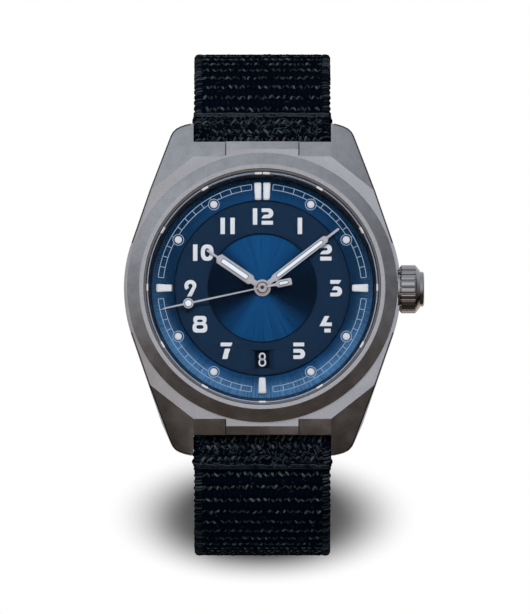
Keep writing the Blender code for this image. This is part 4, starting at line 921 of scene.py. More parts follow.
@dataclass
class SubAssembly:
    """What every sub-assembly holds: the frame and the palette."""

    frame: dict[str, Any]
    palette: Palette

    def dress(self, piece: Piece, finish: Finish, body: Body, slot: Slot, *nodes: str) -> None:
        """Give a new piece its finish and its place in the frame.

        Args:
            piece: The new piece.
            finish: Its finish.
            body: The body that it rides on.
            slot: The record's material slot; not used.
            *nodes: CAD nodes that it stands for.
        """
        piece.data.materials.append(self.palette.get(finish))
        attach(piece, body.value)
        if nodes:
            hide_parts(*nodes)
        LOG.info("%s rides on %s", piece.name, body.value)

    def paint_node(self, node: str, finish: Finish) -> None:
        """Give a CAD node that keeps its shape a better finish.

        Args:
            node: Name of the CAD node.
            finish: Its finish.
        """
        materials = self.frame["nodes"][node].data.materials
        materials.clear()
        materials.append(self.palette.get(finish))
        LOG.info("%s keeps its CAD shape", node)

    def refined(self, node: str, ease: float, segments: int = 2, angle: float = SHARP_ANGLE) -> Piece:
        """Copy a CAD node's shape into a new piece with eased edges.

        Args:
            node: Name of the CAD node.
            ease: Width of the eased edges in millimetres.
            segments: Steps across each edge.
            angle: Edges sharper than this, in degrees, are eased.

        Returns:
            The new piece.
        """
        shape = bmesh.new()
        shape.from_mesh(self.frame["nodes"][node].data)
        bmesh.ops.remove_doubles(shape, verts=shape.verts, dist=NODE_MERGE)
        bmesh.ops.dissolve_limit(shape, angle_limit=FLAT_ANGLE, verts=shape.verts, edges=shape.edges)
        bmesh.ops.recalc_face_normals(shape, faces=shape.faces)
        mesh = bpy.data.meshes.new(node + "_finished")
        shape.to_mesh(mesh)
        shape.free()
        return soften(link(node + "_finished", mesh), ease, segments, angle)


@dataclass
class Studio:
    """Camera, pale floor, a soft lamp and the surroundings that metal reflects."""

    target: Spot = (0.4, -6.7, -2.8)
    distance: float = 2500.0
    elevation: float = -5.0
    view_height: float = 90.96
    sensor: float = 36.0
    clip_end: float = 100.0
    floor_tilt: float = 30.0
    floor_gap: float = 0.05
    floor_size: float = 8000.0
    floor_sides: int = 64
    floor_colour: Colour = (0.75, 0.75, 0.75)
    floor_roughness: float = 0.8
    floor_mottle: Pair = (0.985, 1.01)
    floor_patches: float = 3.0
    shade_offset: float = 4.0
    shade_reach: Pair = (10.8, 24.0)
    shade_stretch: float = 0.98
    ambient: float = 0.2
    cool: Colour = (0.95, 0.99, 1.07)
    warm: Colour = (1.34, 1.02, 0.82)
    tint_band: Pair = (-0.6, 0.15)
    upper: Range = (0.3, 1.0, 0.98, 0.55)
    lower: Range = (-0.62, 0.05, 0.06, 1.0)
    left: Range = (-1.05, -0.4, 0.25, 1.0)
    left_lean: float = 0.3
    right: Range = (0.2, 1.0, 1.0, 0.12)
    rear_sky: Range = (-0.3, 0.3, 0.0, 0.6)
    rear_wall: Range = (0.45, 0.85, 0.0, 0.75)
    rear_band: Pair = (0.0, 0.4)
    first_bounce: float = 0.5
    lamp_place: Spot = (0.0, -850.0, 500.0)
    lamp_size: float = 260.0
    lamp_power: float = 8.6

    def build(self) -> None:
        """Set up the whole studio."""
        bpy.context.scene.view_settings.view_transform = "Standard"
        self._camera()
        self._floor()
        self._lamp()
        self._world()

    def _camera(self) -> None:
        """Set the camera a little towards six o'clock, as in the photograph."""
        lens = bpy.data.cameras.new("camera")
        lens.sensor_fit = "VERTICAL"
        lens.sensor_height = self.sensor
        lens.lens = self.sensor * self.distance / self.view_height
        lens.clip_end = self.clip_end
        camera = bpy.data.objects.new("camera", lens)
        bpy.context.scene.collection.objects.link(camera)
        lean = math.radians(self.elevation)
        target = Vector(self.target) * MM
        camera.location = target + Vector((0, -math.cos(lean), math.sin(lean))) * self.distance * MM
        camera.rotation_euler = (target - camera.location).to_track_quat("-Z", "Y").to_euler()
        bpy.context.scene.camera = camera

    def _floor(self) -> None:
        """Lay a pale floor just under the strap, tipped up towards the back."""
        lean = math.radians(self.floor_tilt)
        up = Vector((0, -math.sin(lean), math.cos(lean)))
        lowest = min((v.co.dot(up), v.co.copy()) for v in bpy.data.objects["strap_6"].data.vertices)[1]
        outline = circle(self.floor_size / 2, self.floor_sides)
        mesh = bpy.data.meshes.new("floor")
        mesh.from_pydata([(x * MM, 0, y * MM) for x, y in outline], [], [range(self.floor_sides)])
        floor = link("floor", mesh)
        floor.rotation_euler = (lean - math.pi / 2, 0, 0)
        floor.location = lowest - up * self.floor_gap * MM
        sheet = Finish("pale_floor", self.floor_colour, self.floor_roughness).start()
        place = sheet.spot()
        tones = (shade(self.floor_colour, share) for share in self.floor_mottle)
        mottle = sheet.blend(sheet.noise(place, self.floor_patches), *tones)
        sheet.drive(Specular_IOR_Level=0.0, Base_Color=mottle)
        self._fade(sheet, place)
        floor.data.materials.append(sheet.material)
        floor.visible_glossy = False

    def _fade(self, sheet: MaterialSheet, place: Socket) -> None:
        """Turn the floor plain white for the viewer beyond the strap's shadow, and clear from below.

        Args:
            sheet: The floor material's nodes.
            place: Object coordinates on the floor.
        """
        x, _, z = sheet.parts(place)
        offset = -self.shade_offset * self.shade_stretch
        along = sheet.maths("MULTIPLY_ADD", z, self.shade_stretch / MM, offset)
        away = sheet.level(sheet.length(along, sheet.maths("MULTIPLY", x, 1 / MM)), *self.shade_reach)
        path = sheet.add("ShaderNodeLightPath").outputs
        seen = sheet.maths("MAXIMUM", path["Is Camera Ray"], path["Is Transmission Ray"])
        seen = sheet.maths("MAXIMUM", seen, path["Is Glossy Ray"])
        below = sheet.add("ShaderNodeNewGeometry").outputs["Backfacing"]
        surface = sheet.shader.outputs[0]
        for kind, share in (("ShaderNodeEmission", away), ("ShaderNodeBsdfTransparent", below)):
            inputs = {0: sheet.maths("MULTIPLY", share, seen), 1: surface, 2: sheet.add(kind).outputs[0]}
            surface = sheet.wired("ShaderNodeMixShader", inputs)[0]
        sheet.feed(sheet.tree.nodes["Material Output"].inputs["Surface"], surface)

    def _lamp(self) -> None:
        """Hang a soft square lamp that faces the watch."""
        light = bpy.data.lights.new("key_lamp", "AREA")
        light.size = self.lamp_size * MM
        light.energy = self.lamp_power
        lamp = bpy.data.objects.new("key_lamp", light)
        lamp.location = Vector(self.lamp_place) * MM
        lamp.rotation_euler = (-lamp.location).to_track_quat("-Z", "Y").to_euler()
        lamp.visible_glossy = False
        lamp.visible_transmission = False
        bpy.context.scene.collection.objects.link(lamp)

    def _world(self) -> None:
        """Plain white for the viewer; in reflections, a bright front with darker sides, and a paler rear."""
        world = bpy.data.worlds.new("studio")
        bpy.context.scene.world = world
        world.use_nodes = True
        sheet = NodeSheet(world.node_tree)
        x, y, z = sheet.parts(sheet.add("ShaderNodeTexCoord").outputs["Generated"])
        leaning = sheet.maths("MULTIPLY_ADD", z, self.left_lean, x)
        height = sheet.maths("MULTIPLY", sheet.level(z, *self.upper), sheet.level(z, *self.lower))
        sides = sheet.maths("MULTIPLY", sheet.level(leaning, *self.left), sheet.level(x, *self.right))
        front = sheet.maths("MULTIPLY", height, sides)
        rear = sheet.maths("MAXIMUM", sheet.level(z, *self.rear_sky), sheet.level(y, *self.rear_wall))
        change = sheet.maths("SUBTRACT", rear, front)
        behind = sheet.maths("MULTIPLY", sheet.level(y, *self.rear_band), change)
        tint = sheet.blend(sheet.level(z, *self.tint_band), self.warm, self.cool)
        room = sheet.scaled(tint, sheet.maths("ADD", front, behind))
        path = sheet.add("ShaderNodeLightPath").outputs
        shown = sheet.maths("MAXIMUM", path["Is Glossy Ray"], path["Is Transmission Ray"])
        direct = sheet.maths("LESS_THAN", path["Diffuse Depth"], self.first_bounce)
        lit = sheet.blend(sheet.maths("MULTIPLY", shown, direct), (self.ambient,) * 3, room)
        sky = sheet.blend(path["Is Camera Ray"], lit, (1.0, 1.0, 1.0))
        sheet.feed(sheet.tree.nodes["Background"].inputs["Color"], sky)


@dataclass
class Case(SubAssembly):
    """Case middle, bezel, case back and the seals between them."""

    opening: float = 17.55
    lip: float = 18.2
    rim: float = 20.0
    seat_height: float = 7.83
    wall_height: float = 8.3
    top_height: float = 9.5
    edge: float = 0.07
    shoulder_height: float = 7.8
    slope_start: float = 19.5
    slope_angle: float = 27.5
    groove_across: Pair = (5.36, 5.5)
    groove_reach: Pair = (19.7, 21.7)
    groove_proud: float = 0.012
    tip_start: float = 23.4
    tip_inner: float = 10.15
    tip_run: float = 1.6
    tip_drop: float = 0.6
    tip_short: float = 0.3
    tip_flank: float = 2.0
    edge_start: float = 6.6
    edge_inner: float = 10.6
    edge_width: float = 0.21
    edge_proud: float = 0.02
    flank_lean: float = 0.34
    facet_tilt: float = -0.3
    flank_tilt: float = 0.25
    middle_ease: float = 0.08
    middle_angle: float = 14.0
    back_angle: float = 8.0
    groove_depth: float = 0.05

    def build(self) -> None:
        """Make the pieces of the case."""
        middle = self.refined("case_middle", self.middle_ease, angle=self.middle_angle)
        self._trim_tips(middle)
        self._lean_flanks(middle)
        # Painted shade along the lugs' outer edges
        self.dress(self._edges(middle), Palette.DARK_FLANGE, Body.CASE, Slot.TITANIUM)
        self.dress(middle, Palette.TITANIUM, Body.CASE, Slot.TITANIUM, "case_middle")
        profile = [(self.opening, self.seat_height), (self.rim, self.seat_height),
                   (self.rim, self.wall_height), (self.lip, self.top_height), (self.opening, self.top_height)]
        bezel = soften(turned("bezel_finished", profile), self.edge)
        self.dress(bezel, Palette.TITANIUM, Body.CASE, Slot.TITANIUM, "bezel")
        back = self.refined("case_back", 0.0, angle=self.back_angle)
        self.dress(back, Palette.BACK_TITANIUM, Body.CASE, Slot.TITANIUM, "case_back")
        # Painted shadow lines beside the raised block
        self.dress(self._grooves(), Palette.DARK_FLANGE, Body.CASE, Slot.TITANIUM)
        for node, finish in (("case_back_gasket", Palette.RUBBER), ("crown_tube", Palette.SATIN_STEEL),
                             ("spring_bar_12", Palette.SATIN_STEEL), ("spring_bar_6", Palette.SATIN_STEEL)):
            self.paint_node(node, finish)

    def _trim_tips(self, piece: Piece) -> None:
        """Slope the lug tips off towards their outer corners; those at six are shorter.

        Args:
            piece: The case middle.
        """
        fall = math.tan(math.radians(self.slope_angle))
        for vertex in piece.data.vertices:
            x, z = abs(vertex.co.x) / MM, vertex.co.z / MM
            if abs(z) < self.tip_start:
                continue
            drop = self.tip_drop * min(1.0, max(0.0, (x - self.tip_inner) / self.tip_run))
            drop += self.tip_short if z < 0 else 0.0
            vertex.co.z -= math.copysign(drop, z) * MM
            if vertex.co.y < -self.tip_flank * MM:
                vertex.co.y -= drop * fall * MM

    def _outer_edges(self, shape: bmesh.types.BMesh) -> list[tuple[Any, Any, Vector]]:
        """Edges of the lugs where a front facet meets the flank.

        Args:
            shape: The case middle.

        Returns:
            Each edge with its facet and the way into the facet.
        """
        found = []
        for edge in shape.edges:
            start, end = (vertex.co for vertex in edge.verts)
            middle = (start + end) / 2 / MM
            outside = abs(middle.x) >= self.edge_inner and abs(middle.z) >= self.edge_start
            if not outside or len(edge.link_faces) != 2:
                continue
            top, side = sorted(edge.link_faces, key=lambda face: face.normal.y)
            if top.normal.y > self.facet_tilt or abs(side.normal.y) > self.flank_tilt:
                continue
            inward = top.normal.cross(end - start).normalized()
            inward *= math.copysign(1.0, inward.dot(top.calc_center_median() - start))
            found.append((edge, top, inward))
        return found

    def _lean_flanks(self, piece: Piece) -> None:
        """Push the front edges of the lugs at six outward, so that their flanks lean in towards the back.

        Args:
            piece: The case middle.
        """
        shape = bmesh.new()
        shape.from_mesh(piece.data)
        ways: dict[Any, Vector] = {}
        for edge, _, inward in self._outer_edges(shape):
            for vertex in edge.verts:
                if vertex.co.z < 0:
                    ways[vertex] = ways.get(vertex, Vector()) - inward
        for vertex, way in ways.items():
            outward = way.normalized()
            vertex.co += outward * max(0.0, -outward.z) * self.flank_lean * MM
        shape.to_mesh(piece.data)
        shape.free()

    def _edges(self, piece: Piece) -> Piece:
        """Painted shade: dark narrow strips along the outer sides of the lugs, where their flanks turn away
        into shade.

        Args:
            piece: The case middle, before its edges are eased.

        Returns:
            The four edges as one piece.
        """
        pile = MeshPile()
        shape = bmesh.new()
        shape.from_mesh(piece.data)
        for edge, top, inward in self._outer_edges(shape):
            across, lift = inward * self.edge_width * MM, top.normal * self.edge_proud * MM
            section = (lift, across + lift, across - lift, -lift)
            pile.tube([[tuple((vertex.co + offset) / MM) for offset in section] for vertex in edge.verts])
        shape.free()
        return pile.piece("lug_edge_shade")

    def _grooves(self) -> Piece:
        """Painted shadow: fine dark lines on the sloped ends, beside the raised block between the lugs, where
        the step casts shade.

        Returns:
            The four dark lines.
        """
        pile = MeshPile()
        fall = math.tan(math.radians(self.slope_angle))
        inner, outer = self.groove_across
        for across, end in ((-1, -1), (-1, 1), (1, -1), (1, 1)):
            rings = []
            for reach in self.groove_reach:
                top = self.shoulder_height - (reach - self.slope_start) * fall + self.groove_proud
                low = top - self.groove_depth
                section = ((inner, top), (outer, top), (outer, low), (inner, low))
                rings.append([(across * x, -height, end * reach) for x, height in section])
            pile.tube(rings)
        return pile.piece("block_groove_shade")


@dataclass
class CrystalSide(SubAssembly):
    """Crystal, its seal and the sloped ring under it with a mark at each hour."""

    radius: float = 17.2
    base: float = 8.28
    top: float = 9.85
    chamfer: float = 0.42
    seal_inner: float = 17.29
    seal_outer: float = 17.5
    seal_top: float = 9.4
    slope_low: Pair = (16.38, 6.86)
    slope_high: Pair = (16.8, 8.25)
    ring_outer: float = 17.27
    line_radii: Pair = (16.86, 17.0)
    mark_radii: Pair = (16.8, 17.04)
    mark_width: float = 1.0
    mark_spread: float = 1.2
    mark_height: float = 0.025
    mark_points: int = 6
    line_height: float = 0.015
    glass_ease: float = 0.04
    ring_ease: float = 0.03
    seal_gap: float = 0.03
    seal_steps: int = 180

    def build(self) -> None:
        """Make the pieces over the dial."""
        glass = [(0, self.base), (self.radius, self.base), (self.radius, self.top - self.chamfer),
                 (self.radius - self.chamfer, self.top), (0, self.top)]
        crystal = soften(turned("crystal_finished", glass, ring=False), self.glass_ease)
        crystal.visible_shadow = False
        self.dress(crystal, Palette.CRYSTAL, Body.CASE, Slot.SAPPHIRE, "crystal")
        seal = box(self.seal_inner, self.seal_outer, self.base + self.seal_gap, self.seal_top)
        gasket = soften(turned("crystal_seal", seal, self.seal_steps), self.ring_ease)
        self.dress(gasket, Palette.SEAL_NYLON, Body.CASE, Slot.RUBBER, "crystal_gasket")
        slope = [self.slope_low, self.slope_high, (self.ring_outer, self.slope_high[1]),
                 (self.ring_outer, self.slope_low[1])]
        ring = soften(turned("flange_ring", slope), self.ring_ease)
        # Painted shade: the sloped ring's dark colour stands in for the shade under the bezel's lip
        self.dress(ring, Palette.DARK_FLANGE, Body.CASE, Slot.STEEL, "rehaut_ring")
        low = self.slope_high[1]
        # Painted reflection of the blue dial: a thin bluish line on the ring's top
        circles = [circle(radius) for radius in reversed(self.line_radii)]
        edge = plate("flange_reflection_line", circles, low, low + self.line_height)
        self.dress(soften(edge, 0.0), Palette.FLANGE_EDGE, Body.CASE, Slot.STEEL)
        self.dress(self._marks(low), Palette.BRIGHT_STEEL, Body.CASE, Slot.STEEL)

    def _marks(self, low: float) -> Piece:
        """Small bright marks on the ring's top, one at each hour and a pair at twelve.

        Args:
            low: Height of the ring's top.

        Returns:
            The piece with all the marks.
        """
        inner, outer = self.mark_radii
        half = math.degrees(self.mark_width / 2 / outer)
        pair = self.mark_spread * half
        loops = []
        for middle in [QUARTER - HOUR * hour for hour in range(1, 12)] + [QUARTER - pair, QUARTER + pair]:
            ends, points = (middle - half, middle + half), self.mark_points
            loops.append(arc(inner, *ends, points) + arc(outer, *reversed(ends), points))
        return soften(plate("flange_marks", loops, low, low + self.mark_height), 0.0)


@dataclass
class Numerals:
    """Stencil outlines of the hour figures, each drawn in millimetres about its own middle."""

    half: float = 1.26
    stem: float = 0.34
    wide: float = 0.9
    bar: float = 0.57
    bowl: float = 0.77

    def hook(self, middle: float, starts: Pair, joint: Sequence[Point] = ()) -> Loop:
        """Bowl open to the left, as on 2, 3 and 5.

        Args:
            middle: Height of the bowl's middle.
            starts: Left ends of the upper stroke's two edges.
            joint: Points that join the bowl's outside to its hole below; a square end if there are none.

        Returns:
            The outline.
        """
        hole = self.bowl - self.bar
        outer = arc(self.bowl, 90, -90, 15, (self.wide - self.bowl, middle))
        inner = arc(hole, -90, 90, 9, (0.02, middle))
        below = joint or [(-self.wide, middle - self.bowl), (-self.wide, middle - hole)]
        return [(starts[0], middle + self.bowl), *outer, *below, *inner, (starts[1], middle + hole)]

    def figure(self, digit: int) -> list[Loop]:
        """Outlines of one digit.

        Args:
            digit: The digit.

        Returns:
            Its outlines, holes included.
        """
        top, wide, bar = self.half, self.wide, self.bar
        if digit == 0:
            return [oval(0.98, top, 40, power=2.5), oval(0.36, 0.68, 28, power=2.4)]
        if digit == 1:
            return [box(-self.stem, self.stem, -top, top)]
        if digit == 2:
            joint = ((-0.9, -0.28), (-0.82, -0.08), (-0.66, 0.12), (-0.45, 0.26))
            hook = self.hook(top - self.bowl, (-wide, -wide), joint)
            return [hook, box(-wide, 0.84, -top, -top + 0.6)]
        if digit == 3:
            return [box(-wide, 0.76, top - bar, top, 0.34), self.hook(self.bowl - top, (-0.34, -0.66))]
        if digit == 4:
            blade = [(-0.15, top), (0.56, top), (0.06, 0.27), (0.96, 0.27), (0.94, -0.29), (-0.95, -0.29)]
            return [blade, box(-0.2, 0.77, -top, -0.67)]
        if digit == 5:
            return [box(-wide, 0.76, top - bar, top), self.hook(self.bowl - top, (-wide, -wide))]
        if digit == 7:
            leg = [(-0.24, 0.32), (0.58, 0.32), (0.3, -0.5), (0.14, -top), (-0.66, -top), (-0.46, -0.5)]
            return [box(-wide, wide, top - bar, top, 0.19), leg]
        if digit == 8:
            right = (arc(0.6, -90, 0, 8, (0.525, -0.69)) + arc(0.6, 0, 62, 6, (0.525, -0.35))
                     + arc(0.5, -50, 0, 5, (0.515, 0.6)) + arc(0.5, 0, 90, 8, (0.515, 0.79)))
            left = [(-x, y) for x, y in reversed(right)]
            return [right + left, oval(0.44, 0.2, 20, (0, 0.53), 2.6), oval(0.56, 0.3, 20, (0, -0.42), 2.6)]
        outer = arc(0.92, 222, -4, 26, (0.02, 0.36))
        inner = arc(0.33, -18, 190, 16, (0.02, 0.36))
        return [[*outer, (0.22, -top), (-0.5, -top), *inner, (-0.2, 0.06)]]

    def outlines(self, hour: int) -> list[Loop]:
        """Outlines of an hour figure, its digits side by side.

        Args:
            hour: The hour.

        Returns:
            All its outlines about the figure's middle.
        """
        if hour < 10:
            return self.figure(hour)
        places = {10: (-1.24, 0.6), 11: (-0.755, 0.755), 12: (-1.24, 0.67)}[hour]
        loops = []
        for digit, x in zip((hour // 10, hour % 10), places):
            loops += [shifted(loop, (x, 0)) for loop in self.figure(digit)]
        return loops


@dataclass
class Dial(SubAssembly):
    """Dial plate, numeral ring, figures, minute track, hour dots, applied bars and date figures."""

    plate_height: float = 6.62
    plate_base: float = 6.3
    plate_radius: float = 16.95
    centre_hole: float = 1.05
    ring_height: float = 6.8
    ring_base: float = 6.65
    ring_outer: float = 12.9
    ring_inner: float = 8.15
    window_place: float = -10.6
    window_half: Pair = (1.0, 1.28)
    window_flare: Pair = (0.85, 0.2)
    figure_places: tuple[tuple[int, float, float], ...] = (
        (1, 5.57, 9.24), (2, 9.45, 5.30), (3, 10.95, -0.03), (4, 9.38, -5.39), (5, 5.47, -9.33),
        (7, -5.30, -9.33), (8, -9.24, -5.39), (9, -10.67, -0.03), (10, -8.74, 5.26), (11, -5.14, 9.24),
        (12, 0.12, 10.64))
    figure_height: float = 0.07
    figure_size: float = 0.965
    track_inner: float = 14.7
    track_outer: float = 15.5
    track_line: float = 0.09
    ring_line: float = 0.2
    track_height: float = 0.025
    dot_radius: float = 14.37
    dot_size: float = 0.54
    dot_ring: float = 0.8
    bar_inner: float = 13.3
    bar_outer: float = 15.7
    bar_height: float = 0.35
    disc_height: float = 6.12
    date_shown: int = 8
    dates: int = 31
    date_size: Pair = (0.92, 1.86)
    date_line: float = 0.22
    date_drop: float = 0.02
    date_height: float = 0.015
    pair_width: float = 0.62
    pair_line: float = 0.85
    pair_pitch: float = 0.98
    plate_ease: float = 0.03
    plate_angle: float = 30.0
    middle_inset: Pair = (1.0, 0.3)
    middle_gap: float = 0.02
    window_over: float = 0.1
    figure_ease: float = 0.02
    track_ends: Pair = (6.0, 84.0)
    rim_points: int = 60
    line_points: int = 24
    dot_points: int = 40
    dot_hours: tuple[int, ...] = (1, 2, 4, 5, 7, 8, 10, 11)
    dot_dome: tuple[Pair, ...] = ((0.86, 0.0), (0.86, 0.16), (0.7, 0.2), (0.35, 0.22))
    dome_points: int = 28
    dot_rim: Pair = (0.94, 0.16)
    dot_rim_points: int = 32
    dot_rim_height: float = 0.19
    dot_rim_ease: float = 0.012
    dot_angle: float = 50.0
    bar_half: Pair = (0.49, 0.63)
    pair_edges: Spot = (0.13, 1.1, 1.23)
    pair_longer: float = 0.2
    bar_fill: float = 0.86
    bar_round: Pair = (0.26, 0.2)
    bar_ease: Pair = (0.05, 0.03)
    bar_angle: float = 40.0
    fill_proud: float = 0.02
    numerals: Numerals = field(default_factory=Numerals)

    def build(self) -> None:
        """Make the dial and everything on it."""
        self._plates()
        self.dress(self._figures(), Palette.LUME, Body.CASE, Slot.LUME)
        self.dress(self._track(), Palette.PRINT, Body.CASE, Slot.LUME)
        # Painted shadow at the numeral ring's edges
        self.dress(self._ring_lines(), Palette.DATE_BLACK, Body.CASE, Slot.RING_NAVY)
        self._dots()
        self._bars()
        self.paint_node("date_disc", Palette.DATE_BLACK)
        self.dress(self._dates(), Palette.DATE_INK, Body.DATE, Slot.LUME)

    def _plates(self) -> None:
        """Dial plate and numeral ring with the flared date window through both."""
        base, top = self.plate_base, self.plate_height
        inner, outer = self.ring_inner + self.middle_inset[0], self.ring_outer - self.middle_inset[1]
        gap = self.middle_gap
        plates = (
            ("dial_outer", (self.plate_radius, outer), base, top, Palette.OUTER_BLUE, Slot.DIAL_BLUE,
             ("dial",)),
            ("dial_middle", (outer - gap, inner), base, top, Palette.NAVY, Slot.DIAL_BLUE, ()),
            ("dial_centre", (inner - gap, self.centre_hole), base, top, Palette.SUNBURST, Slot.DIAL_BLUE, ()),
            ("figure_ring", (self.ring_outer, self.ring_inner), self.ring_base, self.ring_height,
             Palette.NAVY, Slot.RING_NAVY, ("numeral_ring",)),
        )
        for name, radii, low, high, finish, slot, nodes in plates:
            piece = plate(name, [circle(radius) for radius in radii], low, high, self.plate_ease)
            if finish is Palette.NAVY:
                cut_away(piece, self._window())
            soften(piece, 0.0, angle=self.plate_angle)
            self.dress(piece, finish, Body.CASE, slot, *nodes)

    def _window(self) -> Piece:
        """Shape of the date window, wider at the top.

        Returns:
            The shape to cut with.
        """
        pile = MeshPile()
        rings = []
        ends = (self.plate_base - self.window_over, self.ring_height + self.window_over)
        for share, height in enumerate(ends):
            x, z = (half + flare * share for half, flare in zip(self.window_half, self.window_flare))
            rings.append([(px, -height, pz + self.window_place) for px, pz in box(-x, x, -z, z)])
        pile.tube(rings)
        return pile.piece("window_cutter")

    def _figures(self) -> Piece:
        """Raised hour figures on the numeral ring, all but six.

        Returns:
            The piece with all the figures.
        """
        loops = []
        for hour, x, z in self.figure_places:
            for loop in self.numerals.outlines(hour):
                loops.append([(x + px * self.figure_size, z + pz * self.figure_size) for px, pz in loop])
        low = self.ring_height
        return soften(plate("hour_figures", loops, low, low + self.figure_height, self.figure_ease), 0.0)

    def _track(self) -> Piece:
        """Minute track: boxed lines in each quarter and a ring round each dot.

        Returns:
            The printed piece.
        """
        pile = MeshPile()
        low, high = self.plate_height, self.plate_height + self.track_height
        reach = self.track_inner - self.dot_radius
        gap = math.degrees(math.sqrt(self.dot_ring ** 2 - reach ** 2) / self.track_inner)
        begin, finish = self.track_ends
        for quarter in range(4):
            first = QUARTER - QUARTER * quarter
            rim = arc(self.track_outer, first - begin, first - finish, self.rim_points)
            pile.ribbon(rim, self.track_line, low, high)
            for start, end in ((begin, HOUR - gap), (HOUR + gap, 2 * HOUR - gap), (2 * HOUR + gap, finish)):
                line = arc(self.track_inner, first - start, first - end, self.line_points)
                pile.ribbon(line, self.track_line, low, high)
            for angle in range(MINUTE, QUARTER, MINUTE):
                inner = self.track_inner if angle % HOUR else self.dot_radius + self.dot_ring
                tick = [(radius, 0) for radius in (inner, self.track_outer)]
                pile.ribbon(swung(tick, angle - first), self.track_line, low, high)
            for angle in (HOUR, 2 * HOUR):
                centre = swung([(self.dot_radius, 0)], angle - first)[0]
                ring = circle(self.dot_ring, self.dot_points, centre)
                pile.ribbon(ring, self.track_line, low, high, closed=True)
        return pile.piece("minute_track")

    def _ring_lines(self) -> Piece:
        """Painted shadow: dark lines where the numeral ring's edges step down to the dial.

        Returns:
            Both lines as one piece.
        """
        pile = MeshPile()
        for radius in (self.ring_inner - self.ring_line / 2, self.ring_outer + self.ring_line / 2):
            low = self.plate_height
            pile.ribbon(circle(radius), self.ring_line, low, low + self.track_height, closed=True)
        return pile.piece("numeral_ring_shade_lines")

    def _dots(self) -> None:
        """Domed lume dots in thin metal rims."""
        lume, rims = MeshPile(), MeshPile()
        low, (rim, rim_line) = self.plate_height, self.dot_rim
        for hour in self.dot_hours:
            centre = swung([(0, self.dot_radius)], HOUR * hour)[0]
            rings = []
            for size, height in self.dot_dome:
                level = circle(self.dot_size * size, self.dome_points, centre)
                rings.append([(x, -low - height, z) for x, z in level])
            lume.tube(rings)
            path = circle(self.dot_size * rim, self.dot_rim_points, centre)
            rims.ribbon(path, self.dot_size * rim_line, low, low + self.dot_rim_height, closed=True)
        dots = soften(lume.piece("hour_dots"), 0.0, angle=self.dot_angle)
        self.dress(dots, Palette.LUME, Body.CASE, Slot.LUME)
        edges = soften(rims.piece("hour_dot_rims"), self.dot_rim_ease)
        self.dress(edges, Palette.SATIN_STEEL, Body.CASE, Slot.STEEL)

    def _bars(self) -> None:
        """Applied bars at 3, 6 and 9 and the pair at 12: metal frames filled with lume."""
        near, far = self.bar_half
        low, high = self.bar_inner, self.bar_outer
        single = [(-near, low), (near, low), (far, high), (-far, high)]
        low -= self.pair_longer
        gap, near, far = self.pair_edges
        pair = [(gap, low), (near, low), (far, high), (gap, high)]
        shapes = [(f"marker_{hour}", swung(single, HOUR * hour)) for hour in (3, 6, 9)]
        shapes.append(("marker_12_right", pair))
        shapes.append(("marker_12_left", [(-x, y) for x, y in reversed(pair)]))
        low, high = self.plate_height, self.plate_height + self.bar_height
        for name, outline in shapes:
            middle = Vector((sum(p[0] for p in outline), sum(p[1] for p in outline))) / len(outline)
            inner = [tuple(middle + (Vector(p) - middle) * self.bar_fill) for p in outline]
            edge, hole = rounded(outline, self.bar_round[0]), rounded(inner, self.bar_round[1])
            frame = plate(name + "_frame", [edge, hole], low, high - self.fill_proud, self.bar_ease[0])
            soften(frame, 0.0, angle=self.bar_angle)
            self.dress(frame, Palette.BRIGHT_STEEL, Body.CASE, Slot.STEEL, name)
            fill = plate(name + "_fill", [hole], low, high, self.bar_ease[1])
            soften(fill, 0.0, angle=self.bar_angle)
            self.dress(fill, Palette.LUME, Body.CASE, Slot.LUME)

    def _strokes(self, digit: int) -> list[tuple[Loop, bool]]:
        """Line figures for the date disc in a box of half width and half height 1.

        Args:
            digit: The digit.

        Returns:
            Its strokes, each with whether it closes.
        """
        upper = stretched(circle(1, 28), 0.86, 0.5, 0.5)
        lower = stretched(circle(1, 28), 1.0, 0.54, -0.46)
        two = stretched(arc(1, 165, -40, 16), 1.0, 0.55, 0.45)
        three = stretched(arc(1, 150, -80, 16), 0.9, 0.52, 0.48)
        belly = stretched(arc(1, 80, -150, 16), 1.0, 0.54, -0.46)
        five = stretched(arc(1, 125, -150, 18), 1.0, 0.62, -0.38)
        six = stretched(arc(1, 180, 70, 12), 1.0, 1.46, -0.46)
        nine = stretched(arc(1, 0, 110, 12), 1.0, -1.46, 0.46)
        shapes: dict[int, list[tuple[Loop, bool]]] = {
            0: [(circle(1, 36), True)],
            1: [([(-0.5, 0.6), (0.2, 1.0), (0.2, -1.0)], False)],
            2: [([*two, (-1, -1), (1, -1)], False)],
            3: [(three, False), (belly, False)],
            4: [([(0.45, -1.0), (0.45, 1.0), (-1.0, -0.4), (1.0, -0.4)], False)],
            5: [([(0.85, 1.0), (-0.7, 1.0), (-0.8, 0.1), *five], False)],
            6: [(lower, True), (six, False)],
            7: [([(-1.0, 1.0), (1.0, 1.0), (-0.3, -1.0)], False)],
            8: [(upper, True), (lower, True)],
            9: [(stretched(lower, -1.0, -1.0, 0.0), True), (nine, False)],
        }
        return shapes[digit]

    def _dates(self) -> Piece:
        """Date figures round the disc, upright where the window is.

        Returns:
            The printed piece.
        """
        pile = MeshPile()
        low, high = self.disc_height, self.disc_height + self.date_height
        for day in range(1, self.dates + 1):
            digits = [int(c) for c in str(day)]
            narrow, thin = (self.pair_width, self.pair_line) if len(digits) > 1 else (1.0, 1.0)
            width, height = self.date_size[0] / 2 * narrow, self.date_size[1] / 2
            middle = self.window_place + self.date_drop
            turn = -360 / self.dates * (day - self.date_shown)
            for place, digit in enumerate(digits):
                x = (place - (len(digits) - 1) / 2) * self.pair_pitch
                for stroke, closed in self._strokes(digit):
                    path = [(x + px * width, middle + py * height) for px, py in stroke]
                    pile.ribbon(swung(path, turn), self.date_line * thin, low, high, closed)
        return pile.piece("date_figures")


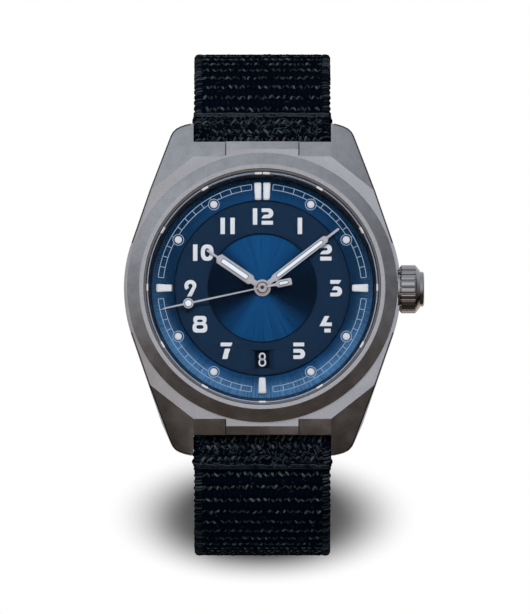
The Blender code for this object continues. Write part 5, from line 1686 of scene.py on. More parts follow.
@dataclass
class Hands(SubAssembly):
    """Hour, minute and seconds hands with their lume and the seconds collar."""

    edge: float = 0.045
    collar_low: float = 7.94
    collar_high: float = 8.1
    collar_outer: float = 0.7
    collar_inner: float = 0.28
    pin_radius: float = 0.26
    pin_high: float = 8.05
    sleeve: Pair = (0.66, 0.9)
    sleeve_low: float = 7.62
    sleeve_high: float = 7.7
    hub_hole: float = 0.3
    hub_reach: float = 1.1
    hub_share: float = 0.36
    rim_line: float = 0.1
    rim_proud: float = 0.012
    lume_depth: float = 0.2
    lume_ease: float = 0.025
    lume_growth: float = 0.05
    lume_round: float = 0.22
    lume_points: int = 6
    lume_angle: float = 40.0
    collar_step: float = 0.06
    collar_slope: float = 0.1
    collar_ease: float = 0.02
    pin_slope: float = 0.08
    pin_tip: float = 0.5
    sleeve_ease: float = 0.01
    face_depth: float = 0.01
    hub_steps: int = 64
    pin_steps: int = 32

    def build(self) -> None:
        """Make the hands."""
        for node, body in (("hour_hand", Body.HOURS), ("minute_hand", Body.MINUTES),
                           ("seconds_hand", Body.SECONDS)):
            hand = self.refined(node, self.edge)
            if body is Body.SECONDS:
                self._trim_hub(hand)
            self.dress(hand, Palette.SATIN_STEEL, body, Slot.STEEL, node)
        for node, body in (("hour_hand_lume", Body.HOURS), ("minute_hand_lume", Body.MINUTES),
                           ("seconds_disc_lume", Body.SECONDS), ("seconds_tail_lume", Body.SECONDS)):
            outline, height = self._filling(node)
            lume = plate(node + "_finished", [outline], height - self.lume_depth, height, self.lume_ease)
            self.dress(soften(lume, 0.0, angle=self.lume_angle), Palette.HAND_LUME, body, Slot.LUME, node)
            rim = MeshPile()
            path = self._grown(outline, self.rim_line / 2)
            rim.ribbon(path, self.rim_line, height - self.lume_ease, height + self.rim_proud, closed=True)
            self.dress(rim.piece(node + "_rim"), Palette.DARK_STEEL, body, Slot.STEEL)
        self._hub()

    def _hub(self) -> None:
        """Make the collar and pin of the seconds hand and the sleeve under them."""
        low, high = self.collar_low, self.collar_high
        inner, outer, step = self.collar_inner, self.collar_outer, self.collar_step
        profile = [(inner, low), (outer, low), (outer, high - step), (outer - self.collar_slope, high),
                   (inner + step, high)]
        collar = soften(turned("seconds_collar", profile, self.hub_steps), self.collar_ease)
        self.dress(collar, Palette.SATIN_STEEL, Body.SECONDS, Slot.STEEL)
        # The pin is real; its dark metal is painted shade in the collar's hole
        pin = [(0, low), (self.pin_radius, low), (self.pin_radius, self.pin_high - self.pin_slope),
               (self.pin_radius * self.pin_tip, self.pin_high), (0, self.pin_high)]
        tip = soften(turned("seconds_pin", pin, self.pin_steps, ring=False), 0.0)
        self.dress(tip, Palette.DARK_FLANGE, Body.SECONDS, Slot.STEEL)
        ring = box(*self.sleeve, self.sleeve_low, self.sleeve_high)
        sleeve = soften(turned("hand_sleeve", ring, self.hub_steps), self.sleeve_ease)
        self.dress(sleeve, Palette.BRONZE, Body.MINUTES, Slot.BRASS)

    def _trim_hub(self, hand: Piece) -> None:
        """Draw the seconds hand's hub in to its small collar.

        Args:
            hand: The seconds hand.
        """
        for vertex in hand.data.vertices:
            reach = math.hypot(vertex.co.x, vertex.co.z) / MM
            if self.hub_hole < reach < self.hub_reach:
                share = (self.hub_hole + (reach - self.hub_hole) * self.hub_share) / reach
                vertex.co.x *= share
                vertex.co.z *= share

    def _filling(self, node: str) -> tuple[Loop, float]:
        """Outline of a lume filling, with rounded ends, and the height of its face.

        Args:
            node: Name of the CAD node that it takes the place of.

        Returns:
            The outline, counter-clockwise, and the height.
        """
        spots = [vertex.co / MM for vertex in self.frame["nodes"][node].data.vertices]
        height = max(-spot.y for spot in spots)
        face = [spot for spot in spots if -spot.y > height - self.face_depth]
        corners = {(round(spot.x, 3), round(spot.z, 3)) for spot in face}
        x, y = (sum(values) / len(corners) for values in zip(*corners))
        outline = sorted(corners, key=lambda corner: math.atan2(corner[1] - y, corner[0] - x))
        if not node.startswith("seconds"):
            outline = self._grown(outline, self.lume_growth)
        if len(outline) == 4:
            outline = rounded(outline, self.lume_round, self.lume_points)
        return outline, height

    @staticmethod
    def _grown(outline: Loop, growth: float) -> Loop:
        """Push a counter-clockwise outline outward.

        Args:
            outline: The outline.
            growth: How far, in millimetres.

        Returns:
            The larger outline.
        """
        path = []
        for i, point in enumerate(outline):
            along = Vector(outline[(i + 1) % len(outline)]) - Vector(outline[i - 1])
            path.append(tuple(Vector(point) + Vector((along.y, -along.x)).normalized() * growth))
        return path


@dataclass
class Crown(SubAssembly):
    """Fluted crown with its cap, seal and stem."""

    axis_height: float = 4.9
    seat: float = 20.12
    base: float = 20.35
    end: float = 24.0
    knurl: float = 3.58
    shoulder: float = 22.7
    rim: float = 23.36
    cap: float = 2.6
    room: float = 1.75
    floor: float = 22.2
    flutes: int = 22
    groove: float = 0.34
    groove_share: float = 0.14
    steps: int = 12
    sharpness: float = 4.0
    bore: float = 0.05
    foot: tuple[Spot, ...] = ((0.0, -0.32, 0.0), (0.04, -0.3, 0.04), (0.24, -0.05, 0.34), (0.32, 0.0, 0.34))
    foot_inset: float = 0.34
    land_end: float = 0.08
    land_rings: int = 5
    brow: tuple[Spot, ...] = ((0.0, -0.06, 0.8), (0.03, -0.1, 0.0))
    cone_inset: float = 0.18
    cone: tuple[float, ...] = (0.25, 0.5, 0.75, 0.95, 1.0)
    cap_foot: tuple[Pair, ...] = ((0.0, 0.02), (0.03, 0.0))
    cap_edge: tuple[Pair, ...] = ((0.22, 0.0), (0.14, 0.05), (0.04, 0.24), (0.01, 0.4))
    dish: float = 0.03
    land_angle: float = 38.0

    def build(self) -> None:
        """Make the crown and dress the pieces behind it."""
        self.dress(self._knob(), Palette.CROWN_TITANIUM, Body.CROWN, Slot.TITANIUM, "crown")
        self.paint_node("crown_gasket", Palette.RUBBER)
        for node in ("winding_stem", "sliding_pinion"):
            self.paint_node(node, Palette.SATIN_STEEL)

    def _ring(self, x: float, radius: float, depth: float) -> list[Spot]:
        """One section across the crown.

        Args:
            x: Place along the crown's axis.
            radius: Radius of the lands.
            depth: Depth of the grooves there.

        Returns:
            The points round the section.
        """
        count = self.flutes * self.steps
        points = []
        for i in range(count):
            phase = (i / self.steps + 0.5) % 1 - 0.5
            cut = math.exp(-(abs(phase) / self.groove_share) ** self.sharpness)
            r, angle = radius - depth * cut, TURN * i / count
            points.append((x, -self.axis_height + r * math.cos(angle), r * math.sin(angle)))
        return points

    def _knob(self) -> Piece:
        """The crown as one turned and fluted solid, hollow towards the case.

        Returns:
            The crown.
        """
        knurl, cap, start = self.knurl, self.cap, self.foot[-1][0]
        stations = [(self.floor, self.bore, 0), (self.floor, self.room, 0), (self.seat, self.room, 0),
                    (self.seat, knurl - self.foot_inset, 0)]
        stations += [(self.base + x, knurl + grow, depth) for x, grow, depth in self.foot]
        run = self.shoulder - self.land_end - self.base - start
        stations += [(self.base + start + run * i / self.land_rings, knurl, self.groove)
                     for i in range(1, self.land_rings + 1)]
        stations += [(self.shoulder + x, knurl + grow, self.groove * share) for x, grow, share in self.brow]
        span, fall = self.rim - self.shoulder, knurl - cap - self.cone_inset
        stations += [(self.shoulder + span * share, knurl - fall * share, 0) for share in self.cone]
        stations += [(self.rim + x, cap + grow, 0) for x, grow in self.cap_foot]
        stations += [(self.end - x, cap - inset, 0) for x, inset in self.cap_edge]
        stations += [(self.end - self.dish, cap / 2, 0), (self.end - self.dish, self.bore, 0)]
        pile = MeshPile()
        pile.tube([self._ring(*station) for station in stations])
        return soften(pile.piece("crown_finished"), 0.0, angle=self.land_angle)


@dataclass
class Movement(SubAssembly):
    """The movement under the dial keeps its CAD shapes and gets plated finishes."""

    brass: tuple[str, ...] = ("barrel", "centre_wheel", "third_wheel", "fourth_wheel", "escape_wheel",
                              "minute_wheel", "hour_wheel", "balance_wheel")
    plated: tuple[str, ...] = ("main_plate", "train_bridge", "barrel_bridge", "balance_cock", "rotor")
    steel: tuple[str, ...] = ("cannon_pinion", "pallet_fork", "hairspring", "rotor_bearing")

    def build(self) -> None:
        """Dress the movement."""
        for nodes, finish in ((self.brass, Palette.BRASS), (self.plated, Palette.RHODIUM),
                              (self.steel, Palette.POLISHED_STEEL), (("holder_ring",), Palette.RESIN)):
            for node in nodes:
                self.paint_node(node, finish)


@dataclass
class StrapPath:
    """The curve that each strap half follows, in the plane across the wrist, from its spring bar."""

    bar: Pair = (22.7, 3.4)
    front_radius: float = 25.0
    front_centre: Pair = (11.6, -19.0)
    straight: float = 5.741
    back_radius: float = 36.6

    def at(self, s: Array) -> tuple[Array, Array, Array]:
        """Places and headings along the strap.

        Args:
            s: Distances from the spring bar.

        Returns:
            Reach from the case's middle, height from the case back and heading at each distance.
        """
        middle, level = self.front_centre
        sweep = math.atan2(self.bar[1] - level, self.bar[0] - middle)
        run = s - self.front_radius * sweep
        past = np.where(run < self.straight, 0.0, (self.straight - run) / self.back_radius)
        angle = np.where(run < 0, sweep - s / self.front_radius, past)
        radius = np.where(run < 0, self.front_radius, self.back_radius)
        reach = np.where(run < 0, middle, 0.0) + radius * np.cos(angle)
        height = level - np.clip(run, 0, self.straight) + radius * np.sin(angle)
        return reach, height, angle - math.pi / 2


def bell(distance: Array, reach: float) -> Array:
    """Smooth hump of height 1 that falls off over a reach."""
    return np.exp(-(distance / reach) ** 2)


def ramp(value: Array, start: Any, run: float) -> Array:
    """Straight rise from 0 at a start to 1 after a run."""
    return np.clip((value - start) / run, 0, 1)


class YarnPile:
    """Collects yarns that lie on a strap half into one mesh, each with its own crest value."""

    SIDES = 6

    def __init__(self) -> None:
        """Start empty."""
        self.points: list[Array] = []
        self.faces: list[list[int]] = []
        self.crests: list[Array] = []
        self.count = 0

    def add(self, lines: Array, radius: Array, crest: Array, upright: Spot = UP) -> None:
        """Add a batch of yarns with equal numbers of rings.

        Args:
            lines: Middle lines, one yarn per row, as distance along, place across and lift.
            radius: Radius at each ring.
            crest: How pale each yarn is.
            upright: Direction that no yarn of the batch runs along.
        """
        yarns, rings = lines.shape[:2]
        along = np.gradient(lines, axis=1)
        side = np.cross(along, np.array(upright))
        side /= np.linalg.norm(side, axis=2, keepdims=True)
        other = np.cross(along, side)
        other /= np.linalg.norm(other, axis=2, keepdims=True)
        turn = np.linspace(0, TURN, self.SIDES, endpoint=False)
        spread = side[:, :, None] * np.cos(turn)[:, None] + other[:, :, None] * np.sin(turn)[:, None]
        self.points.append((lines[:, :, None] + spread * radius[:, :, None, None]).reshape(-1, 3))
        self.crests.append(np.repeat(crest, rings * self.SIDES))
        index = self.count + np.arange(yarns * rings * self.SIDES).reshape(yarns, rings, self.SIDES)
        after = np.roll(index, -1, axis=2)
        walls = np.stack([index[:, :-1], after[:, :-1], after[:, 1:], index[:, 1:]], axis=-1)
        self.faces += walls.reshape(-1, 4).tolist() + index[:, 0, ::-1].tolist() + index[:, -1].tolist()
        self.count += index.size

    def piece(self, name: str, strap: StrapHalf) -> Piece:
        """Lay the yarns on a strap half.

        Args:
            name: Object name.
            strap: The strap half that carries them.

        Returns:
            The linked object with its crest attribute.
        """
        spots = strap.lay(*np.concatenate(self.points).T)
        piece = solid(name, spots, self.faces, np.concatenate(self.crests))
        piece.data.shade_smooth()
        return piece


@dataclass(frozen=True)
class LoopYarn:
    """Binding loops in the furrows: sizes in millimetres and the spans that chance picks from."""

    rings: int = 6
    pitch: float = 1.08
    length: float = 1.0
    radius: float = 0.21
    left_out: float = 0.08
    first: float = -1.5
    end_room: float = 0.8
    layers: tuple[Spot, ...] = ((1.0, 0.0, 1.0), (0.34, 0.5, 0.8))
    near_length: float = 1.25
    stray_along: float = 0.2
    stray_across: float = 0.16
    stagger: Pair = (0.35, 0.4)
    lengths: Pair = (0.7, 1.2)
    leans: Pair = (38.0, 76.0)
    sizes: Pair = (0.75, 1.15)
    # Painted highlight on the loops, weaker from fade_start on along the strap
    paleness: Pair = (0.3, 1.0)
    pale_power: float = 1.5
    fade_start: float = 26.0
    fade_run: float = 14.0
    fade_least: float = 0.3
    inset: float = 0.25
    margin: float = 0.55
    sink: float = 0.06
    arch: float = 0.24
    taper: float = 0.75


@dataclass(frozen=True)
class LooseFibre:
    """Loose short fibres on the outer face, closer together near the spring bar."""

    rings: int = 4
    density: float = 0.8
    near_share: float = 0.45
    first: float = -1.2
    end_room: float = 2.0
    edge_room: float = 0.7
    lengths: Pair = (0.15, 0.5)
    lift: float = 0.02
    arch: float = 0.06
    margin: float = 0.6
    radii: Pair = (0.05, 0.11)
    taper: float = 0.6
    # Painted highlight on the fibres
    paleness: Pair = (0.02, 0.55)
    far_pale: float = 0.4


@dataclass(frozen=True)
class HemYarn:
    """Loops over the strap's edges, drawn as insets from the edge and shares of the half thickness."""

    seed_step: int = 20
    pitch: float = 0.61
    radius: float = 0.2
    first: float = -1.2
    eye_room: float = 1.6
    inward: tuple[float, ...] = (1.3, 0.95, 0.6, 0.25, 0.06, 0.06, 0.25, 0.6, 0.95, 1.3)
    rise: tuple[float, ...] = (0.62, 0.9, 0.94, 0.8, 0.34, -0.34, -0.8, -0.94, -0.9, -0.62)
    swell: tuple[float, ...] = (0.4, 0.9, 1.0, 1.0, 1.0, 1.0, 1.0, 1.0, 0.9, 0.4)
    stray: float = 0.07
    slant: float = 0.25
    insets: Pair = (0.85, 1.1)
    sink: float = 0.17
    sizes: Pair = (0.8, 1.1)
    # Painted highlight on the hem loops
    palest: float = 0.62
    pale_power: float = 1.5


@dataclass(frozen=True)
class SeamThread:
    """Long threads over the folded end, slightly frayed."""

    seed_step: int = 40
    threads: int = 6
    rings: int = 70
    waves: Spot = (9.0, 23.0, 41.0)
    spread: Pair = (-0.3, 0.42)
    sway: float = 0.12
    edge_room: float = 0.1
    sink: float = 0.12
    wobble: float = 0.07
    wobble_lag: int = 3
    radius: float = 0.1
    taper: float = 0.7
    taper_power: int = 20
    # Painted highlight on the threads
    paleness: Pair = (0.1, 0.5)


@dataclass
class StrapHalf(SubAssembly):
    """One half of the strap: ribbed webbing folded round its spring bar, bound by yarn with painted
    highlight, and sewn.
    """

    side: Side = Side.TWELVE
    node: str = "strap_12"
    body: Body = Body.STRAP_12
    length: float = 65.0
    end_eye: float = 1.4
    tip: float = 0.0
    holes: int = 0
    seed: int = 3
    path: StrapPath = field(default_factory=StrapPath)
    half_width: float = 10.04
    narrowing: float = 1.02
    narrow_span: Pair = (37.0, 44.0)
    half_thickness: float = 0.75
    fold: float = 0.85
    fold_length: float = 3.2
    eye: float = 1.95
    step: float = 0.2
    columns: int = 64
    near_rows: tuple[float, ...] = (-6.65, -4.2, -2.6, -1.1, -0.1, 2.0)
    first_row: float = 4.9
    rib: float = 2.45
    rib_depth: float = 0.3
    rib_sink: float = 0.06
    rib_power: float = 1.1
    cord_rise: float = 0.03
    cord_pale: float = 0.25
    selvedge: float = 1.35
    selvedge_run: float = 0.3
    selvedge_flat: float = 0.6
    selvedge_drop: float = 0.08
    rim_run: float = 0.55
    rim_thin: float = 0.4
    tip_run: Pair = (0.9, 0.95)
    tip_thin: float = 0.12
    tip_full: float = 0.998
    scallop: float = 0.13
    seam: float = 3.4
    seam_step: float = 0.14
    seam_run: float = 0.6
    seam_bulge: Pair = (0.14, 0.8)
    seam_rise: Pair = (0.2, 0.35)
    seam_dip: Pair = (0.22, 0.3)
    dip_after: float = 0.75
    eye_rows: int = 16
    hole_pitch: float = 6.5
    first_hole: float = 21.0
    hole_radius: float = 0.9
    hole_sides: int = 24
    hole_reach: float = 3.0
    slot_half: float = 1.6
    slot_depth: float = 5.5
    slot_round: float = 0.5
    slot_reach: float = 4.0
    loops: LoopYarn = LoopYarn()
    fibres: LooseFibre = LooseFibre()
    hem: HemYarn = HemYarn()
    threads: SeamThread = SeamThread()

    def build(self) -> None:
        """Weave the strap half, bind its ribs and edges and sew its seam."""
        strap = self._weave()
        cut_away(strap, self._cutter())
        strap.data.shade_smooth()
        self.dress(strap, Palette.WEBBING, self.body, Slot.WEBBING, self.node)
        self.dress(self._binding(), Palette.BINDING, self.body, Slot.WEBBING)
        self.dress(self._hem(), Palette.BINDING, self.body, Slot.WEBBING)
        self.dress(self._seam(), Palette.BINDING, self.body, Slot.WEBBING)

    def rows(self) -> Array:
        """Distances of the binding rows along the strap."""
        return np.array([*self.near_rows, *np.arange(self.first_row, self.length + self.rib, self.rib)])

    def lay(self, s: Array, u: Array, lift: Array) -> Array:
        """World points in millimetres at places on the strap, lifted off its middle.

        Args:
            s: Distances along the strap.
            u: Places across it.
            lift: Heights off its middle towards the viewer's face.

        Returns:
            Points as rows of x, y, z.
        """
        reach, height, heading = self.path.at(s)
        return self.world(u, reach - np.sin(heading) * lift, height + np.cos(heading) * lift)

    def world(self, u: Array, reach: Array, height: Array) -> Array:
        """Turn strap coordinates into world millimetres.

        Args:
            u: Places across the strap.
            reach: Distances from the case's middle towards twelve or six.
            height: Heights from the case back.

        Returns:
            Points as rows of x, y, z.
        """
        sign = self.side.value
        return np.stack([u * sign, -height, reach * sign], axis=-1)

    def _relief(self, s: Array, u: Array, width: Array) -> tuple[Array, Array]:
        """Smooth ribs between the binding rows and the flatter edges.

        Args:
            s: Distance along the strap at each point.
            u: Place across the strap at each point.
            width: Half width of the strap at each point.

        Returns:
            Heights off the outer surface, and painted highlight on the raised cords.
        """
        rows = self.rows()
        phase = np.interp(s, rows, np.arange(len(rows)))
        hump = np.abs(np.sin(np.pi * phase)) ** self.rib_power
        cord = 0.5 + 0.5 * np.sin(TURN * u / (self.loops.pitch / 2))
        edge = ramp(np.abs(u), width - self.selvedge, self.selvedge_run)
        ribs = self.rib_depth * (hump - 1) * (1 - self.selvedge_flat * edge)
        # Painted highlight on the raised cords
        raised = cord * hump * (1 - edge)
        relief = ribs + self.cord_rise * raised - self.rib_sink - self.selvedge_drop * edge
        return relief, self.cord_pale * raised

    def halves(self, s: Array) -> Array:
        """Half thickness along the strap: the fold by the spring bar, the eyes and the rounded tip.

        Args:
            s: Distances along the strap.

        Returns:
            The half thickness at each distance.
        """
        half = self.half_thickness + self.fold * bell(s, self.fold_length)
        half = np.maximum(half, np.sqrt(np.clip(self.eye ** 2 - s ** 2, 0, None)))
        if self.end_eye:
            return np.maximum(half, np.sqrt(np.clip(self.end_eye ** 2 - (self.length - s) ** 2, 0, None)))
        start, run = self.tip_run
        return half * np.sqrt(np.clip(1 - ramp(s, self.length - start, run) ** 2, self.tip_thin, 1))

    def widths(self, s: Array) -> Array:
        """Half width along the strap: narrower behind, with a rounded tip, scallops and a bulge at the seam.

        Args:
            s: Distances along the strap.

        Returns:
            The half width at each distance.
        """
        start, end = self.narrow_span
        width = self.half_width - self.narrowing * ramp(s, start, end - start)
        if self.tip:
            share = np.clip((s - (self.length - self.tip)) / self.tip, 0, self.tip_full)
            width = width * np.sqrt(1 - share ** 2)
        width = width - self.seam_step * ramp(s, self.seam, self.seam_run)
        ripple = self.scallop * np.abs(np.sin(np.pi * s / (self.rib / 2)))
        bulge, reach = self.seam_bulge
        return width + ripple + bulge * bell(s - self.seam, reach)

    def ridge(self, s: Array) -> Array:
        """Rise of the folded end at the seam on the outer face, and the dip that follows it.

        Args:
            s: Distances along the strap.

        Returns:
            The rise at each distance.
        """
        (rise, rise_reach), (dip, dip_reach) = self.seam_rise, self.seam_dip
        past = s - self.seam
        return rise * bell(past, rise_reach) - dip * bell(past - self.dip_after, dip_reach)

    def _weave(self) -> Piece:
        """Build the webbing as one closed skin.

        Returns:
            The strap half before its holes.
        """
        count = int(self.length / self.step)
        s = np.linspace(0, self.length, count)
        t = np.linspace(-1, 1, self.columns)
        heading = self.path.at(s)[2]
        width, half = self.widths(s), self.halves(s)[:, None]
        u = t[None, :] * width[:, None]
        along = np.repeat(s[:, None], self.columns, axis=1)
        relief, light = self._relief(along, u, np.repeat(width[:, None], self.columns, axis=1))
        inset = ramp(np.abs(u), width[:, None] - self.rim_run, self.rim_run)
        edge = self.rim_thin + (1 - self.rim_thin) * np.sqrt(np.clip(1 - inset ** 2, 0, 1))
        skin = (half + relief) * edge
        front = self.lay(along, u, skin + self.ridge(s)[:, None])
        back = self.lay(along, u, -skin)
        eye, eye_light = self._eye(u[0], 0, heading[0], self.eye, edge[0], -1)
        rows, lights = [front, back[::-1]], [light, light[::-1]]
        if self.end_eye:
            bend, bend_light = self._eye(u[-1], self.length, heading[-1], self.end_eye, edge[-1], 1)
            rows.insert(1, bend)
            lights.insert(1, bend_light)
        rows.append(eye)
        lights.append(eye_light)
        bent = len(rows[1]) if self.end_eye else 0
        return self._skin(np.concatenate(rows), np.concatenate(lights), count, bent)

    def _clear(self, s: Array, u: Array, margin: float) -> Array:
        """Which places on the strap lie clear of its holes and of the tongue's slot.

        Args:
            s: Distances along the strap.
            u: Places across it.
            margin: Room to keep.

        Returns:
            True where a yarn may lie.
        """
        free = np.ones(s.shape, bool)
        for i in range(self.holes):
            hole = self.length - self.first_hole - i * self.hole_pitch
            free &= np.hypot(s - hole, u) > self.hole_radius + margin
        if self.end_eye:
            free &= (s < self.length - self.slot_depth - margin) | (np.abs(u) > self.slot_half + margin)
        return free

    def _binding(self) -> Piece:
        """Short slanted loops of binding yarn in the furrows between the ribs, on both faces.

        Returns:
            The loops.
        """
        rng = np.random.default_rng(self.seed)
        pile = YarnPile()
        first, last = self.loops.first, self.length - self.loops.end_room
        for face in (1, -1):
            for number, row in enumerate(r for r in self.rows() if first < r < last):
                for layer in self.loops.layers:
                    pile.add(*self._loops(rng, row, number, layer, face))
        pile.add(*self._fuzz(rng))
        return pile.piece(self.node + "_binding", self)

    @staticmethod
    def _slanted(t: Array, s: Array, u: Array, reach: Array, lean: Array) -> tuple[Array, Array]:
        """Straight yarns that lean across the strap.

        Args:
            t: Places along a yarn, from -1 to 1.
            s: Distance of each yarn's middle along the strap.
            u: Place of each yarn's middle across it.
            reach: Half length of each yarn.
            lean: Angle of each yarn.

        Returns:
            Distances along and places across, one yarn per row.
        """
        along, across = (t * (reach * way(lean))[:, None] for way in (np.sin, np.cos))
        return s[:, None] + along, u[:, None] + across

    def _loops(self, rng: np.random.Generator, row: float, number: int, layer: Spot,
               face: int) -> tuple[Array, Array, Array]:
        """One row of binding loops.

        Args:
            rng: Random numbers.
            row: Distance of the row along the strap.
            number: Count of the row, which sets the way its loops lean.
            layer: Crest value of the palest loops, shift across in pitches, and share of the full size.
            face: 1 on the outer face, -1 on the inner one.

        Returns:
            Middle lines, radii and crest values.
        """
        yarn, (palest, offset, shrink) = self.loops, layer
        t = np.linspace(-1, 1, yarn.rings)
        across = np.arange(-self.half_width, self.half_width, yarn.pitch)
        count = len(across)
        near = yarn.near_length if row < self.seam else 1.0
        shift = yarn.stagger[1] * (number % 2) + yarn.stagger[0] + offset
        s = row + rng.uniform(-yarn.stray_along, yarn.stray_along, count)
        u = across + yarn.pitch * shift + rng.uniform(-yarn.stray_across, yarn.stray_across, count)
        reach = yarn.length / 2 * rng.uniform(*yarn.lengths, count) * near * shrink
        lean = np.radians(rng.uniform(*yarn.leans, count)) * (-1 if (number + int(2 * offset)) % 2 else 1)
        size = yarn.radius * rng.uniform(*yarn.sizes, count) * shrink
        fade = np.clip(1 - (s - yarn.fade_start) / yarn.fade_run, yarn.fade_least, 1)
        pale = palest * rng.uniform(*yarn.paleness, count) ** yarn.pale_power * fade
        keep = rng.uniform(0, 1, count) > yarn.left_out
        keep &= np.abs(u) < self.widths(s) - self.selvedge + yarn.inset
        keep &= self._clear(s, u, yarn.margin)
        line_s, line_u = self._slanted(t, s, u, reach, lean)
        lift = self.halves(line_s) - self.rib_depth - self.rib_sink - yarn.sink + yarn.arch * (1 - t ** 2)
        lift = lift + (self.ridge(line_s) if face > 0 else 0.0)
        lines = np.stack([line_s, line_u, lift * face], axis=-1)
        return lines[keep], (size[:, None] * (1 - yarn.taper * t ** 4))[keep], pale[keep]

    def _fuzz(self, rng: np.random.Generator) -> tuple[Array, Array, Array]:
        """Loose short fibres all over the outer face.

        Args:
            rng: Random numbers.

        Returns:
            Middle lines, radii and crest values.
        """
        yarn = self.fibres
        t = np.linspace(-1, 1, yarn.rings)
        count = int(self.length * self.half_width * yarn.density)
        near = rng.uniform(0, 1, count) < yarn.near_share
        close = rng.uniform(yarn.first, self.seam, count)
        s = np.where(near, close, rng.uniform(0, self.length - yarn.end_room, count))
        u = rng.uniform(-1, 1, count) * (self.widths(s) - yarn.edge_room)
        lean = rng.uniform(0, math.pi, count)
        line_s, line_u = self._slanted(t, s, u, rng.uniform(*yarn.lengths, count), lean)
        relief = self._relief(line_s, line_u, self.widths(line_s))[0]
        lift = self.halves(line_s) + relief + self.ridge(line_s) + yarn.lift - yarn.arch * t ** 2
        keep = self._clear(s, u, yarn.margin)
        radius = rng.uniform(*yarn.radii, count)[:, None] * (1 - yarn.taper * t ** 4)
        pale = rng.uniform(*yarn.paleness, count) * np.where(s < self.seam, 1.0, yarn.far_pale)
        return np.stack([line_s, line_u, lift], axis=-1)[keep], radius[keep], pale[keep]

    def _hem(self) -> Piece:
        """Loops of yarn over both edges.

        Returns:
            The loops.
        """
        yarn = self.hem
        rng = np.random.default_rng(self.seed + yarn.seed_step)
        pile = YarnPile()
        room = yarn.eye_room if self.end_eye else self.tip
        places = np.arange(yarn.first, self.length - room, yarn.pitch)
        inward, rise, swell = (np.array(values) for values in (yarn.inward, yarn.rise, yarn.swell))
        count = len(places)
        for edge in (-1, 1):
            s = places + rng.uniform(-yarn.stray, yarn.stray, count)
            line_s = s[:, None] + np.linspace(-yarn.slant, yarn.slant, len(inward)) * edge
            line_u = edge * (self.widths(s)[:, None] - inward * rng.uniform(*yarn.insets, count)[:, None])
            lift = (self.halves(s)[:, None] - yarn.sink) * rise
            radius = yarn.radius * rng.uniform(*yarn.sizes, count)[:, None] * swell
            pale = rng.uniform(0.0, yarn.palest, count) ** yarn.pale_power
            pile.add(np.stack([line_s, line_u, lift], axis=-1), radius, pale, ALONG)
        return pile.piece(self.node + "_hem", self)

    def _seam(self) -> Piece:
        """Long threads along the folded end, slightly frayed.

        Returns:
            The threads.
        """
        yarn = self.threads
        rng = np.random.default_rng(self.seed + yarn.seed_step)
        pile = YarnPile()
        t = np.linspace(-1, 1, yarn.rings)
        count = yarn.threads
        wave = rng.uniform(0, TURN, (count, len(yarn.waves)))
        sways = [np.sin(t * k + wave[:, i:i + 1]) for i, k in enumerate(yarn.waves)]
        sway = sum(sways) / len(sways)
        s = self.seam + np.linspace(*yarn.spread, count)[:, None] + yarn.sway * sway
        u = np.repeat(t[None, :] * (self.half_width - yarn.edge_room), count, axis=0)
        wobble = yarn.wobble * np.roll(sway, yarn.wobble_lag, axis=1)
        lift = self.halves(s) + self.ridge(s) - yarn.sink + wobble
        radius = yarn.radius * (1 - yarn.taper * np.repeat(t[None, :] ** yarn.taper_power, count, axis=0))
        pile.add(np.stack([s, u, lift], axis=-1), radius, rng.uniform(*yarn.paleness, count))
        return pile.piece(self.node + "_seam", self)

    def _eye(self, u: Array, s: float, heading: float, radius: float, edge: Array,
             way: int) -> tuple[Array, Array]:
        """Rows of webbing round a bar at one end of the strap.

        Args:
            u: Places across the strap there.
            s: Distance of the bar along the strap.
            heading: Heading of the strap there.
            radius: Outside radius round the bar.
            edge: Thinning towards the edges.
            way: 1 at the far end, where the rows go from front to back, and -1 at the near end.

        Returns:
            The rows of points and how near each point is to a crest.
        """
        angles = np.linspace(0, math.pi, self.eye_rows)[1:-1]
        reach, height, _ = self.path.at(np.array([s]))
        arc_s = way * np.abs(angles * radius)[:, None] + np.zeros_like(u)[None, :]
        across = np.repeat(u[None, :], len(angles), 0)
        relief, light = self._relief(s + arc_s, across, np.full_like(arc_s, np.abs(u).max()))
        size = (radius + relief) * edge[None, :]
        turn = (heading + way * math.pi / 2 - angles)[:, None]
        return self.world(across, reach[0] + np.cos(turn) * size, height[0] + np.sin(turn) * size), light

    def _skin(self, rows: Array, lights: Array, count: int, bend: int) -> Piece:
        """Skin the rows and close both edges.

        Args:
            rows: All rows of points, once round the strap's profile.
            lights: Crest values of the points.
            count: Rows on each face.
            bend: Rows round the far bar.

        Returns:
            The linked object with its crest attribute.
        """
        total, columns = rows.shape[:2]
        index = np.arange(total * columns).reshape(total, columns)
        after = np.roll(index, -1, axis=0)
        walls = np.stack([index[:, :-1], index[:, 1:], after[:, 1:], after[:, :-1]], axis=-1)
        quads = walls.reshape(-1, 4).tolist()
        first_back = count + bend
        for column in (0, columns - 1):
            front = index[:count, column]
            back = index[first_back:first_back + count, column][::-1]
            quads += np.stack([front[:-1], front[1:], back[1:], back[:-1]], axis=-1).tolist()
            quads.append([int(back[0]), *index[first_back + count:, column].tolist(), int(front[0])])
            if bend:
                quads.append([int(front[-1]), *index[count:first_back, column].tolist(), int(back[-1])])
        return solid(self.node + "_woven", rows.reshape(-1, 3), quads, lights.reshape(-1))

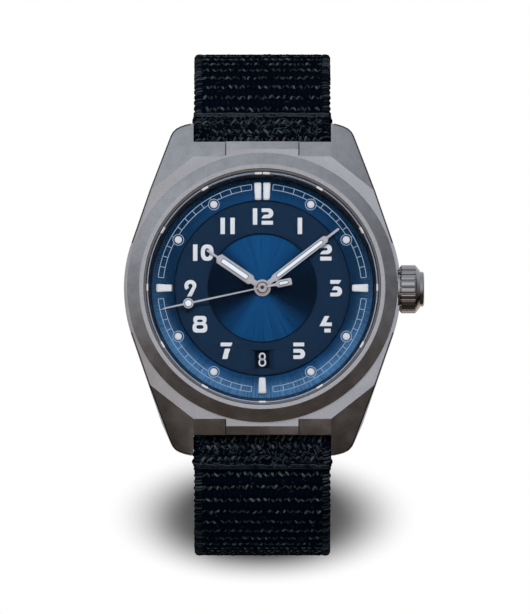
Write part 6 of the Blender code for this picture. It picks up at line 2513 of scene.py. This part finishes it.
    def _cutter(self) -> Piece:
        """Shape of the sizing holes or of the slot for the tongue.

        Returns:
            The shape to cut with.
        """
        pile = MeshPile()
        for i in range(self.holes):
            s = self.length - self.first_hole - i * self.hole_pitch
            self._punch(pile, s, circle(self.hole_radius, self.hole_sides), self.hole_reach)
        if self.end_eye:
            slot = box(-self.slot_half, self.slot_half, -self.slot_depth, self.slot_reach)
            self._punch(pile, self.length, rounded(slot, self.slot_round), self.slot_reach)
        return pile.piece(self.node + "_cutter")

    def _punch(self, pile: MeshPile, s: float, outline: Loop, reach: float) -> None:
        """Add a prism that goes straight through the strap.

        Args:
            pile: Where it is added.
            s: Distance along the strap.
            outline: Its outline, as places across and along from there.
            reach: How far it stands out on either side.
        """
        _, _, heading = self.path.at(np.array([s]))
        across, along = np.array(outline).T
        step = self.world(across, along * np.cos(heading), along * np.sin(heading))
        pile.tube([[tuple(spot) for spot in self.lay(np.array([s]), np.zeros(1), np.array([lift])) + step]
                   for lift in (-reach, reach)])


@dataclass
class Buckle(SubAssembly):
    """Pin buckle, its bar and tongue, and the two keepers."""

    edge: float = 0.3
    tongue_edge: float = 0.2
    edge_steps: int = 3

    def build(self) -> None:
        """Make the buckle and keepers."""
        for node, body, edge in (("buckle_frame", Body.BUCKLE, self.edge),
                                 ("buckle_tongue", Body.TONGUE, self.tongue_edge),
                                 ("fixed_keeper", Body.STRAP_12, self.edge),
                                 ("sliding_keeper", Body.SLIDER, self.edge)):
            piece = self.refined(node, edge, segments=self.edge_steps)
            self.dress(piece, Palette.TITANIUM, body, Slot.TITANIUM, node)
        self.paint_node("buckle_bar", Palette.SATIN_STEEL)


def main() -> None:
    """Load the frame, set up the studio and build every sub-assembly round it."""
    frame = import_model()
    Studio().build()
    palette = Palette()
    assemblies = (
        Case(frame, palette),
        CrystalSide(frame, palette),
        Dial(frame, palette),
        Hands(frame, palette),
        Crown(frame, palette),
        Movement(frame, palette),
        StrapHalf(frame, palette),
        StrapHalf(frame, palette, side=Side.SIX, node="strap_6", body=Body.STRAP_6, length=100.0, end_eye=0.0,
                  tip=8.0, holes=7, seed=5),
        Buckle(frame, palette),
    )
    for assembly in assemblies:
        assembly.build()
        LOG.info("%s done", type(assembly).__name__)


if __name__ == "__main__":
    logging.basicConfig(level=logging.INFO, format="%(name)s: %(message)s")
    main()
